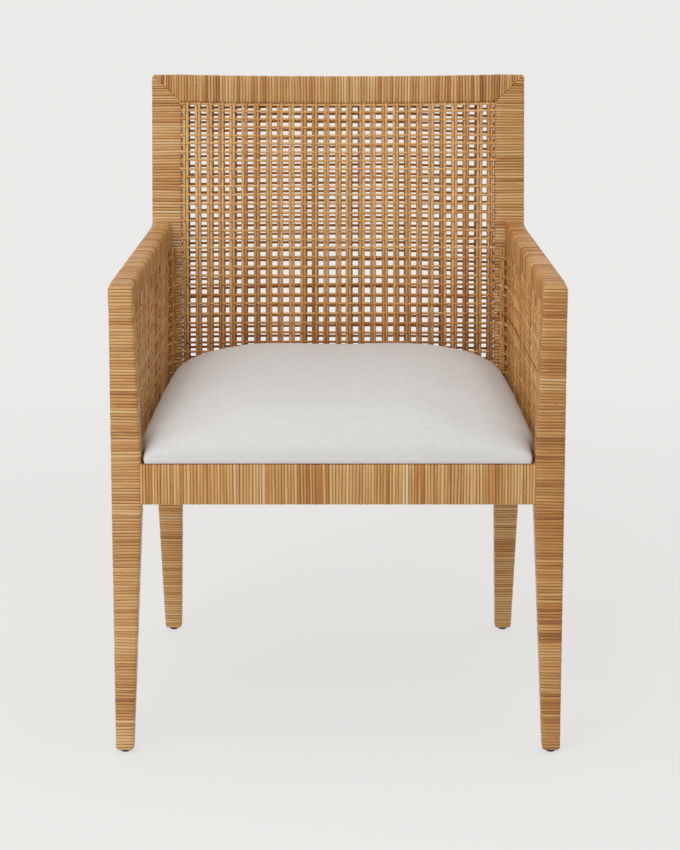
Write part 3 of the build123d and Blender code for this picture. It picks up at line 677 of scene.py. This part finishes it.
# Painted shade: the back's strands are painted darker towards the seat
PAINTED_SEAT_SHADE = 0.36
SECTION_POINTS = 8
angles = 2 * math.pi * np.arange(SECTION_POINTS) / SECTION_POINTS


def weave_strands(name, paths, across, through, width, thickness, tones):
    """Flattened strands along their paths, all in one mesh."""
    count, steps = paths.shape[:2]
    wide = across * (np.cos(angles) * width / 2)[:, None]
    thick = through * (np.sin(angles) * thickness / 2)[:, None]
    points = paths[:, :, None, :] + wide + thick
    length = np.cumsum(np.linalg.norm(np.diff(paths, axis=1, prepend=paths[:, :1]), axis=-1), axis=1)
    shape = points.shape[:3]
    number = np.arange(count)[:, None, None]
    strand = np.stack(
        [
            np.broadcast_to(length[:, :, None] + number * 0.37, shape),
            np.broadcast_to(number + np.abs(angles / math.pi - 1.0), shape),
            np.broadcast_to(number * 1.7, shape),
        ],
        axis=-1,
    )
    colour = np.zeros((*shape, 4))
    colour[..., 0] = tones[..., None]
    colour[..., 3] = 1.0
    faces = []
    for index in range(count):
        faces += tube_faces(steps, SECTION_POINTS, index * steps * SECTION_POINTS)
    return strand_mesh(name, points.reshape(-1, 3), faces, strand.reshape(-1, 3), colour.reshape(-1, 4))


def weave_piece(piece, node):
    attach(piece, "root")
    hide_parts(node)


def pair_places(spaces, step, start, spread, chance):
    """Middles of the single strands of every pair, a little unevenly set."""
    middles = start + step * (np.arange(spaces) + 0.5) + spread * chance.standard_normal(spaces).clip(-2, 2)
    offset = (STRAND_WIDTH + PAIR_GAP) / 2
    return np.stack([middles - offset, middles + offset], axis=-1).ravel()


def weave_wave(places, warps):
    """Position along a strand that runs across, counted in the upright strands that it passes."""
    before = 2 * warps[0] - warps[1] - PAIR_PITCH
    after = 2 * warps[-1] - warps[-2] + PAIR_PITCH
    known = np.concatenate(([before], warps, [after]))
    return np.interp(places, known, np.arange(-1, len(warps) + 1))


def crossing_places(warps, start, end):
    """Points along a strand that runs across, close at each crossing and wide in the gaps."""
    near = np.concatenate([warps + offset for offset in (-1.5 * MM, 0.0, 1.5 * MM)])
    gaps = (warps[1:-1:2] + warps[2::2]) / 2
    places = np.sort(np.concatenate((near, gaps)))
    return np.concatenate(([start], places[(places > start) & (places < end)], [end]))


def painted_seat_shade(share):
    """Painted shade: how much darker a strand of the back is painted near the seat, where shade falls, by
    its share of the way up.
    """
    return PAINTED_SEAT_SHADE * np.clip(1.0 - 2.0 * share, 0.0, 1.0)


# Of each layer: its depth, its first strand across, its drift, the post's face there, its droop and its
# tone. The rear layer's lower tone is painted shade, as it lies in shadow behind the front layer
back_layers = {
    "front": (LAYER_DEPTH / 2, 1.0, 0.0, 1.2 * MM, 0.0, 0.5),
    "rear": (POST_DEPTH - LAYER_DEPTH / 2, 0.6, 2.1 * MM, POST_DEPTH - 1.2 * MM, 2.8 * MM, 0.3),
}
for seed, (layer, (deep, first, drift, post_face, droop, base)) in enumerate(back_layers.items()):
    chance = np.random.default_rng(600 + seed)
    warp_x = PAIR_SPREAD * pair_places(pair_spaces, pair_step, -BACK_INSIDE, PAIR_PLAY, chance)
    weft_up = weft_rise(np.arange(first, weft_spaces))
    weft_up = weft_up + drift * (DRIFT_LIFT + np.cos((weft_up - DRIFT_MIDDLE) / DRIFT_LENGTH))
    weft_up = np.append(weft_up[weft_up < CREST_BOTTOM - 5 * MM], CREST_BOTTOM - WEFT_WIDTH / 2)
    up = np.linspace(-4 * MM, CREST_BOTTOM + STRAND_SINK, 4 * weft_spaces + 1)
    passed = np.interp(up, weft_up, np.arange(len(weft_up)))
    index = np.arange(len(warp_x))[:, None]
    wave = WARP_WAVE * np.cos(math.pi * (passed + index))
    phase = chance.uniform(0, 6, (len(warp_x) // 2, 1)).repeat(2, axis=0)
    lean = WARP_SWAY * np.sin(up / WARP_SWAY_LENGTH + phase)
    share = np.clip(up / CREST_BOTTOM, 0.0, 1.0)
    fanned = warp_x[:, None] * (1.0 + TOP_SPREAD * share) + lean
    paths = back_point(fanned, deep + bow(warp_x)[:, None] * share + wave, up[None, :])
    # Painted shade near the seat darkens the upright strands' tones
    tones = base + WARP_TONES * chance.standard_normal((len(warp_x), 1)) - painted_seat_shade(share)
    across = np.array((1.0, 0.0, 0.0))
    warps = weave_strands(
        f"back_{layer}_uprights", paths, across, THROUGH_BACK, STRAND_WIDTH, STRAND_THICKNESS, tones
    )
    weave_piece(warps, f"back_weave_{layer}_warps")

    x = crossing_places(warp_x, -BACK_INSIDE - STRAND_SINK, BACK_INSIDE + STRAND_SINK)
    rows = np.arange(len(weft_up))[:, None]
    wave = -WEFT_WAVE * np.cos(math.pi * (weave_wave(x, warp_x) + rows))
    to_post = np.clip((np.abs(x) - BACK_INSIDE + 5 * MM) / (8 * MM), 0.0, 1.0) ** 2
    sway = WEFT_SWAY * np.sin(x / WEFT_SWAY_LENGTH + chance.uniform(0, 6, (len(weft_up), 1)))
    sway = sway + WEFT_PLAY * chance.standard_normal((len(weft_up), 1)).clip(-2, 2)
    fall = np.clip((np.abs(x) / BACK_INSIDE - DROOP_FROM) / (1.0 - DROOP_FROM), 0.0, 1.0)
    fall = fall * droop * np.where(x < 0, DROOP_LEFT, DROOP_RIGHT)
    rise = np.minimum(weft_up[:, None] - fall + sway * (1 - to_post), CREST_BOTTOM - WEFT_WIDTH / 2)
    depth = (deep + wave) * (1 - to_post) + post_face * to_post + bow(x) * rise / CREST_BOTTOM
    paths = back_point(np.broadcast_to(x, rise.shape), depth, rise)
    tones = base + WEFT_TONE_LIFT + WEFT_TONES * chance.standard_normal((len(weft_up), 1))
    # Painted shade near the seat darkens the crossing strands' tones
    tones = tones - painted_seat_shade(rise / CREST_BOTTOM)
    wefts = weave_strands(
        f"back_{layer}_crossings", paths, UP_BACK, THROUGH_BACK, WEFT_WIDTH, STRAND_THICKNESS, tones
    )
    weave_piece(wefts, f"back_weave_{layer}_wefts")

# Arm weave
# Under each arm the same double weave fills the side from leg to post and from seat rail to arm.
# The inner layer turns in across the front of the post, level with the strands of the back.
ARM_LAYER = 4.0 * MM
TURN_FROM = 0.925
TURN_IN = 15.5 * MM
ARM_PAIR_PLAY = 0.5 * MM
ARM_WARP_TONES = 0.17
ARM_WEFT_TONES = 0.15
arm_weave_top = ARM_TOP - ARM_REAR_HEIGHT


def back_face(z):
    return SEAT_BACK + np.clip(z - RAIL_TOP, 0.0, None) * math.tan(RAKE)


def panel_face(line, turn_in, y, z):
    """Plan line of a side panel at a height. The last of it, next to the post, may turn in."""
    share = (y - LEG_BACK) / (back_face(z) - LEG_BACK)
    turned = np.clip((share - TURN_FROM) / (1.0 - TURN_FROM), 0.0, None)
    return line(y) - turn_in * turned**2


def panel_directions(line, turn_in, y, z):
    """Directions along a side panel and through it, in plan."""
    step = 0.5 * MM
    slope = (panel_face(line, turn_in, y + step, z) - panel_face(line, turn_in, y - step, z)) / (2 * step)
    flat = np.zeros_like(slope)
    along = np.stack([slope, np.ones_like(slope), flat], axis=-1)
    along /= np.linalg.norm(along, axis=-1, keepdims=True)
    through = np.stack([along[..., 1], -along[..., 0], flat], axis=-1)
    return along[..., None, :], through[..., None, :]


arm_panel_length = back_face((RAIL_TOP + arm_weave_top) / 2) - LEG_BACK
arm_pair_spaces = round(arm_panel_length / PAIR_PITCH)
arm_pair_step = arm_panel_length / arm_pair_spaces
arm_weft_z = RAIL_TOP + weft_rise(np.arange(1, weft_spaces)) * math.cos(RAKE)
arm_weft_z = arm_weft_z[arm_weft_z < arm_weave_top - WEFT_WIDTH / 2]
upright = np.array((0.0, 0.0, 1.0))
# Of each layer: its plan line, how far it turns in, its offset from the line and its tone
arm_layers = {
    "inner": (inside, TURN_IN, ARM_LAYER, 0.42),
    "outer": (outside, 0.0, -ARM_LAYER, 0.44),
}
for seed, side in enumerate(("left", "right")):
    for number, (layer, (line, turn_in, offset, base)) in enumerate(arm_layers.items()):
        chance = np.random.default_rng(700 + 10 * seed + number)
        mirror = np.array((-1.0 if side == "left" else 1.0, 1.0, 1.0))
        pairs = pair_places(arm_pair_spaces, arm_pair_step, 0.0, ARM_PAIR_PLAY, chance)
        shares = pairs / arm_panel_length
        high = arm_underside(LEG_BACK + shares * (arm_end - LEG_BACK))[:, None] + STRAND_SINK
        low = RAIL_TOP - STRAND_SINK
        z = low + (high - low) * np.linspace(0.0, 1.0, 4 * len(arm_weft_z) + 1)
        y = LEG_BACK + shares[:, None] * (back_face(z) - LEG_BACK)
        index = np.arange(len(shares))[:, None]
        passed = np.interp(z, arm_weft_z, np.arange(len(arm_weft_z)))
        wave = WARP_WAVE * np.cos(math.pi * (passed + index))
        along, through = panel_directions(line, turn_in, y, z)
        x = panel_face(line, turn_in, y, z) + offset
        paths = np.stack([x, y, z], axis=-1) + wave[..., None] * through[..., 0, :]
        tones = base + ARM_WARP_TONES * chance.standard_normal((len(shares), 1))
        warps = weave_strands(
            f"arm_{layer}_uprights_{side}",
            paths * mirror,
            along * mirror,
            through * mirror,
            STRAND_WIDTH,
            STRAND_THICKNESS,
            tones,
        )
        weave_piece(warps, f"arm_weave_{layer}_warps_{side}")

        z = arm_weft_z[:, None]
        reach = back_face(z) - LEG_BACK
        places = crossing_places(pairs, -STRAND_SINK, arm_panel_length)
        share = places / arm_panel_length
        y = LEG_BACK + share * reach
        rows = np.arange(len(arm_weft_z))[:, None]
        wave = -WEFT_WAVE * np.cos(math.pi * (weave_wave(places, pairs) + rows))
        wave = wave * np.clip((1.0 - share) / (1.0 - shares[-1]), 0.0, 1.0)
        rise = z + WEFT_PLAY * chance.standard_normal(z.shape).clip(-2, 2) + np.zeros_like(y)
        along, through = panel_directions(line, turn_in, y, rise)
        x = panel_face(line, turn_in, y, rise) + offset
        paths = np.stack([x, y, rise], axis=-1) + wave[..., None] * through[..., 0, :]
        tones = base + WEFT_TONE_LIFT + ARM_WEFT_TONES * chance.standard_normal((len(arm_weft_z), 1))
        wefts = weave_strands(
            f"arm_{layer}_crossings_{side}",
            paths * mirror,
            upright,
            through * mirror,
            WEFT_WIDTH,
            STRAND_THICKNESS,
            tones,
        )
        weave_piece(wefts, f"arm_weave_{layer}_wefts_{side}")

# Dust cover
# Thin black non-woven cloth that closes the seat from below. It is stapled under the seat board,
# cut away at the corner blocks, and sags a little in the middle.
DUST_THICKNESS = 0.8 * MM
DUST_SAG = 1.5 * MM
dust_low, dust_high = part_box("seat_dust_cover")
dust_middle = (dust_low + dust_high) / 2
dust_half = (dust_high - dust_low) / 2
dust_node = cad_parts["seat_dust_cover"]
dust_mesh = bpy.data.meshes.new("dust_cloth")
dust = bmesh.new()
dust.from_mesh(dust_node.data)
lower = [vert for vert in dust.verts if vert.co.z < dust_middle.z]
bmesh.ops.delete(dust, geom=lower, context="VERTS")
bmesh.ops.dissolve_limit(dust, angle_limit=0.01, verts=dust.verts, edges=dust.edges)
bmesh.ops.triangulate(dust, faces=dust.faces)
bmesh.ops.subdivide_edges(dust, edges=dust.edges, cuts=5, use_grid_fill=True)
for vert in dust.verts:
    edge_share = max(abs(vert.co.x) / dust_half.x, abs(vert.co.y - dust_middle.y) / dust_half.y)
    vert.co.z = dust_high.z - DUST_THICKNESS / 2 - DUST_SAG * max(1.0 - edge_share, 0.0)
dust_area = sum(face.calc_area() for face in dust.faces)
dust.to_mesh(dust_mesh)
dust.free()
dust_cloth = bpy.data.objects.new("dust_cloth", dust_mesh)
bpy.context.scene.collection.objects.link(dust_cloth)
thicken = dust_cloth.modifiers.new("thickness", "SOLIDIFY")
thicken.thickness = DUST_THICKNESS / 2
thicken.offset = 0.0
black_cloth, tree, shader = new_finish("black_cloth", 0.9)
fibres = object_noise(tree, (1.0, 1.0, 1.0), 700.0)
cloth_tones = ((0.3, (0.008, 0.008, 0.009)), (0.7, (0.03, 0.03, 0.032)))
tree.links.new(ramp(tree, fibres, cloth_tones), shader.inputs["Base Color"])
raise_bump(tree, shader, fibres, 0.3, 0.0005)
dust_mesh.materials.append(black_cloth)
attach(dust_cloth, "root")
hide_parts("seat_dust_cover")

# Seat pad
# Foam on the board under an off-white plain-weave cloth, pulled tight over the edges and stapled below.
# It swells over the front rail and between the arms, and is drawn in where it meets the rails.
PAD_CLEARANCE = 0.6 * MM
PAD_DRAW_IN = 1.5 * MM
PAD_OVERHANG = 4.5 * MM
PAD_OVERHANG_SHARE = 0.012
PAD_BULGE = 0.2
PAD_SIDE = 9.0 * MM
PAD_PAST_LEG = 20.0 * MM
PAD_FULLNESS = 5
PAD_STATIONS = np.array((0.985, 0.95, 0.85, 0.6))
# Shares of the pad's length from front to back, and its height above the rails there
PAD_SHARES = np.array((0.0, 0.03, 0.08, 0.2, 0.5, 0.8, 0.93, 0.97, 1.0))
PAD_CROWNS = np.array((22.0, 38.0, 53.0, 69.0, 80.0, 75.0, 69.0, 66.0, 61.0)) * MM
PAD_RINGS = 121
PAD_AROUND = 181
PAD_VOXEL = 5.0 * MM
PAD_PRESSURE = 4.0
PAD_FRAMES = 20
PAD_CAP = 5.0 * MM
PAD_EASING = 60
BOARD_PLAY = 0.3 * MM
board_low, board_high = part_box("seat_board")


def smooth_curve(at, places, values):
    """A smooth curve through values at given places."""
    slopes = np.gradient(values, places)
    index = np.clip(np.searchsorted(places, at, "right") - 1, 0, len(places) - 2)
    step = places[index + 1] - places[index]
    share = (at - places[index]) / step
    start = (1 + 2 * share) * values[index] + share * step * slopes[index]
    end = (3 - 2 * share) * values[index + 1] + (share - 1) * step * slopes[index + 1]
    return (1 - share) ** 2 * start + share**2 * end


def pad_ring(share):
    """Outline of the pad across the chair: flat below, swelling sides and a full, crowned top."""
    y = FRONT + PAD_CLEARANCE + (SEAT_DEPTH - 2 * PAD_CLEARANCE) * share
    past_leg = np.clip((y - LEG_BACK) / PAD_PAST_LEG, 0.0, 1.0) ** 2
    at_legs = SIDE - LEG_WIDTH
    at_panels = panel_face(inside, TURN_IN, y, RAIL_TOP)
    wide = at_legs + (at_panels - at_legs) * past_leg - PAD_CLEARANCE
    rise = smooth_curve(share, PAD_SHARES, PAD_CROWNS)
    base = -PAD_OVERHANG * max(1.0 - share / PAD_OVERHANG_SHARE, 0.0)
    side = max(rise * PAD_BULGE, PAD_SIDE)
    x = np.concatenate(([wide - PAD_DRAW_IN, wide, wide], wide * PAD_STATIONS))
    swell = np.sqrt(1.0 - PAD_STATIONS**PAD_FULLNESS)
    z = np.concatenate(([base, side * 0.3, side], side + (rise - side) * swell))
    x = np.concatenate((x, [0.0], -x[::-1]))
    z = np.concatenate((z, [rise], z[::-1]))
    reach = np.concatenate(([0.0], np.cumsum(np.hypot(np.diff(x), np.diff(z)))))
    at = np.linspace(0.0, reach[-1], PAD_AROUND)
    ring = [smooth_curve(at, reach, x), np.full(PAD_AROUND, y), RAIL_TOP + smooth_curve(at, reach, z)]
    return np.stack(ring, axis=-1)


pad_points = np.concatenate([pad_ring(share) for share in np.linspace(0.0, 1.0, PAD_RINGS)])
pad_mesh = bpy.data.meshes.new("seat_pad")
pad_mesh.from_pydata(pad_points.tolist(), [], tube_faces(PAD_RINGS, PAD_AROUND))
seat_pad = bpy.data.objects.new("seat_pad", pad_mesh)
bpy.context.scene.collection.objects.link(seat_pad)
remesh = seat_pad.modifiers.new("remesh", "REMESH")
remesh.mode = "VOXEL"
remesh.voxel_size = PAD_VOXEL


def settle(piece):
    """Applies what the modifiers give to the piece's own mesh."""
    evaluated = piece.evaluated_get(bpy.context.evaluated_depsgraph_get())
    settled = bpy.data.meshes.new_from_object(evaluated)
    piece.modifiers.clear()
    old, piece.data = piece.data, settled
    name = old.name
    bpy.data.meshes.remove(old)
    settled.name = name


def mesh_points(piece):
    points = np.empty(len(piece.data.vertices) * 3)
    piece.data.vertices.foreach_get("co", points)
    return points.reshape(-1, 3)


settle(seat_pad)
rest = mesh_points(seat_pad)
pins = seat_pad.vertex_groups.new(name="on_the_rails")
pins.add([int(i) for i in np.nonzero(rest[:, 2] < RAIL_TOP + PAD_VOXEL)[0]], 1.0, "REPLACE")
cloth = seat_pad.modifiers.new("cloth", "CLOTH")
cloth.settings.use_pressure = True
cloth.settings.uniform_pressure_force = PAD_PRESSURE
cloth.settings.effector_weights.gravity = 0.0
cloth.settings.vertex_group_mass = pins.name
for frame_number in range(1, PAD_FRAMES + 1):
    bpy.context.scene.frame_set(frame_number)
settle(seat_pad)
bpy.context.scene.frame_set(1)
moved = mesh_points(seat_pad) - rest
far = np.linalg.norm(moved, axis=1, keepdims=True)
moved *= np.minimum(1.0, PAD_CAP / np.maximum(far, 1e-9))
ends = np.empty(len(seat_pad.data.edges) * 2, int)
seat_pad.data.edges.foreach_get("vertices", ends)
first, second = ends.reshape(-1, 2).T
joined = np.bincount(ends, minlength=len(rest))[:, None]
for _ in range(PAD_EASING):
    around = np.zeros_like(moved)
    np.add.at(around, first, moved[second])
    np.add.at(around, second, moved[first])
    moved = (moved + around / joined) / 2
points = rest + moved
overhang = PAD_OVERHANG * np.clip((FRONT + CORNER_ROUND - points[:, 1]) / CORNER_ROUND, 0.0, 1.0)
points[:, 2] = np.maximum(points[:, 2], RAIL_TOP - overhang)
seat_pad.data.vertices.foreach_set("co", points.ravel())
smooth = seat_pad.modifiers.new("smooth", "SMOOTH")
smooth.factor = 0.5
smooth.iterations = 2
subdivide = seat_pad.modifiers.new("fine", "SUBSURF")
subdivide.levels = 1
subdivide.render_levels = 1
settle(seat_pad)
# The board lies in a pocket of the pad's underside
pocket = bpy.data.objects.new("board_pocket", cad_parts["seat_board"].data.copy())
bpy.context.scene.collection.objects.link(pocket)
grow = bmesh.new()
grow.from_mesh(pocket.data)
middle = (board_low + board_high) / 2
hull = bmesh.ops.convex_hull(grow, input=grow.verts)
spare = {
    item
    for group in ("geom_interior", "geom_unused", "geom_holes")
    for item in hull[group]
    if isinstance(item, bmesh.types.BMVert)
}
bmesh.ops.delete(grow, geom=list(spare), context="VERTS")
for vert in grow.verts:
    for axis in range(3):
        vert.co[axis] += math.copysign(BOARD_PLAY, vert.co[axis] - middle[axis])
grow.to_mesh(pocket.data)
grow.free()
cut = seat_pad.modifiers.new("board", "BOOLEAN")
cut.operation = "DIFFERENCE"
cut.solver = "EXACT"
cut.object = pocket
settle(seat_pad)
bpy.data.objects.remove(pocket)
seat_pad.data.shade_smooth()

LINEN_TONES = ((0.35, (0.60, 0.597, 0.583)), (0.65, (0.695, 0.692, 0.68)))
linen, tree, shader = new_finish("off_white_linen", 0.85)
shader.inputs["Sheen Weight"].default_value = 0.15
shader.inputs["Sheen Roughness"].default_value = 0.5
across_threads = object_noise(tree, (1.0, 9.0, 9.0), 95.0, 2.0)
along_threads = object_noise(tree, (9.0, 1.0, 9.0), 95.0, 2.0)
threads = tree.nodes.new("ShaderNodeMath")
threads.operation = "ADD"
tree.links.new(across_threads, threads.inputs[0])
tree.links.new(along_threads, threads.inputs[1])
half = tree.nodes.new("ShaderNodeMath")
half.operation = "MULTIPLY"
half.inputs[1].default_value = 0.5
tree.links.new(threads.outputs["Value"], half.inputs[0])
tree.links.new(ramp(tree, half.outputs["Value"], LINEN_TONES), shader.inputs["Base Color"])
raise_bump(tree, shader, half.outputs["Value"], 0.25, 0.0008)
seat_pad.data.materials.clear()
seat_pad.data.materials.append(linen)
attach(seat_pad, "root")
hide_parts("seat_foam", "seat_cover")

# Studio
# A pale seamless floor that fades into an even pale backdrop. A large soft light stands in front, to the
# left, another hangs above, and a small one stands low on the left.
PAPER = (0.831, 0.823, 0.807)
FLOOR_RADIUS = 4.0
FLOOR_FADE = (0.9, 2.2)
FLOOR_SHADE = 0.2
floor_mesh = bpy.data.meshes.new("floor")
disc = bmesh.new()
bmesh.ops.create_circle(disc, cap_ends=True, segments=96, radius=FLOOR_RADIUS)
disc.to_mesh(floor_mesh)
disc.free()
floor = bpy.data.objects.new("floor", floor_mesh)
bpy.context.scene.collection.objects.link(floor)
paper = bpy.data.materials.new("floor_paper")
paper.use_nodes = True
tree = paper.node_tree
tree.nodes.clear()
output = tree.nodes.new("ShaderNodeOutputMaterial")
matte = tree.nodes.new("ShaderNodeBsdfDiffuse")
matte.inputs["Color"].default_value = (0.88, 0.875, 0.865, 1.0)
glow = tree.nodes.new("ShaderNodeEmission")
glow.inputs["Color"].default_value = (*PAPER, 1.0)
shaded = tree.nodes.new("ShaderNodeMixShader")
shaded.inputs["Fac"].default_value = FLOOR_SHADE
clear = tree.nodes.new("ShaderNodeBsdfTransparent")
fade = tree.nodes.new("ShaderNodeMixShader")
place = tree.nodes.new("ShaderNodeTexCoord")
distance = tree.nodes.new("ShaderNodeVectorMath")
distance.operation = "LENGTH"
spread = tree.nodes.new("ShaderNodeMapRange")
spread.interpolation_type = "SMOOTHSTEP"
spread.inputs["From Min"].default_value, spread.inputs["From Max"].default_value = FLOOR_FADE
tree.links.new(place.outputs["Object"], distance.inputs[0])
tree.links.new(distance.outputs["Value"], spread.inputs["Value"])
tree.links.new(glow.outputs["Emission"], shaded.inputs[1])
tree.links.new(matte.outputs["BSDF"], shaded.inputs[2])
tree.links.new(spread.outputs["Result"], fade.inputs["Fac"])
tree.links.new(shaded.outputs["Shader"], fade.inputs[1])
tree.links.new(clear.outputs["BSDF"], fade.inputs[2])
tree.links.new(fade.outputs["Shader"], output.inputs["Surface"])
floor_mesh.materials.append(paper)

AMBIENT = 0.52
world = bpy.data.worlds.new("studio")
bpy.context.scene.world = world
world.use_nodes = True
tree = world.node_tree
tree.nodes.clear()
output = tree.nodes.new("ShaderNodeOutputWorld")
seen = tree.nodes.new("ShaderNodeBackground")
seen.inputs["Color"].default_value = (*PAPER, 1.0)
felt = tree.nodes.new("ShaderNodeBackground")
felt.inputs["Color"].default_value = (1.0, 0.99, 0.97, 1.0)
felt.inputs["Strength"].default_value = AMBIENT
rays = tree.nodes.new("ShaderNodeLightPath")
direct = tree.nodes.new("ShaderNodeMath")
direct.operation = "MAXIMUM"
mirrored_too = tree.nodes.new("ShaderNodeMath")
mirrored_too.operation = "MAXIMUM"
pick = tree.nodes.new("ShaderNodeMixShader")
tree.links.new(rays.outputs["Is Camera Ray"], direct.inputs[0])
tree.links.new(rays.outputs["Is Glossy Ray"], direct.inputs[1])
tree.links.new(direct.outputs["Value"], mirrored_too.inputs[0])
tree.links.new(rays.outputs["Is Transmission Ray"], mirrored_too.inputs[1])
tree.links.new(mirrored_too.outputs["Value"], pick.inputs["Fac"])
tree.links.new(felt.outputs["Background"], pick.inputs[1])
tree.links.new(seen.outputs["Background"], pick.inputs[2])
tree.links.new(pick.outputs["Shader"], output.inputs["Surface"])

SOFT_LIGHTS = {
    "key": ((-1.1, -2.8, 2.5), 2.0, 47.0),
    "side": ((-1.9, -1.6, 0.6), 1.0, 7.0),
    "top": ((0.0, 0.0, 3.4), 3.0, 22.0),
}
aim = np.array((-0.1, -0.1, 0.45))
for name, (spot, size, power) in SOFT_LIGHTS.items():
    lamp = bpy.data.lights.new(name, "AREA")
    lamp.shape = "DISK"
    lamp.size = size
    lamp.energy = power
    light = bpy.data.objects.new(name, lamp)
    light.location = spot
    toward = aim - np.array(spot)
    flat = math.hypot(toward[0], toward[1])
    light.rotation_euler = (math.atan2(flat, -toward[2]), 0.0, math.atan2(-toward[0], toward[1]))
    bpy.context.scene.collection.objects.link(light)

# Camera
# A long lens a little above the chair's back, square to its front and tilted down to its seat.
# Its place and length make the chair's corners lie as they do in a picture 850 pixels high.
CAMERA_DISTANCE = 3.7669
CAMERA_HEIGHT = 1.3288
CAMERA_ASIDE = 0.0027
CAMERA_TILT = 13.06
FOCAL_PIXELS = 2950.8
PICTURE_HEIGHT = 850
SENSOR = 36.0
lens = bpy.data.cameras.new("camera")
lens.sensor_width = SENSOR
lens.lens = FOCAL_PIXELS * SENSOR / PICTURE_HEIGHT
camera = bpy.data.objects.new("camera", lens)
camera.location = (CAMERA_ASIDE, FRONT - CAMERA_DISTANCE, CAMERA_HEIGHT)
camera.rotation_euler = (math.radians(90 - CAMERA_TILT), 0.0, 0.0)
bpy.context.scene.collection.objects.link(camera)
bpy.context.scene.camera = camera
bpy.context.scene.view_settings.view_transform = "Standard"
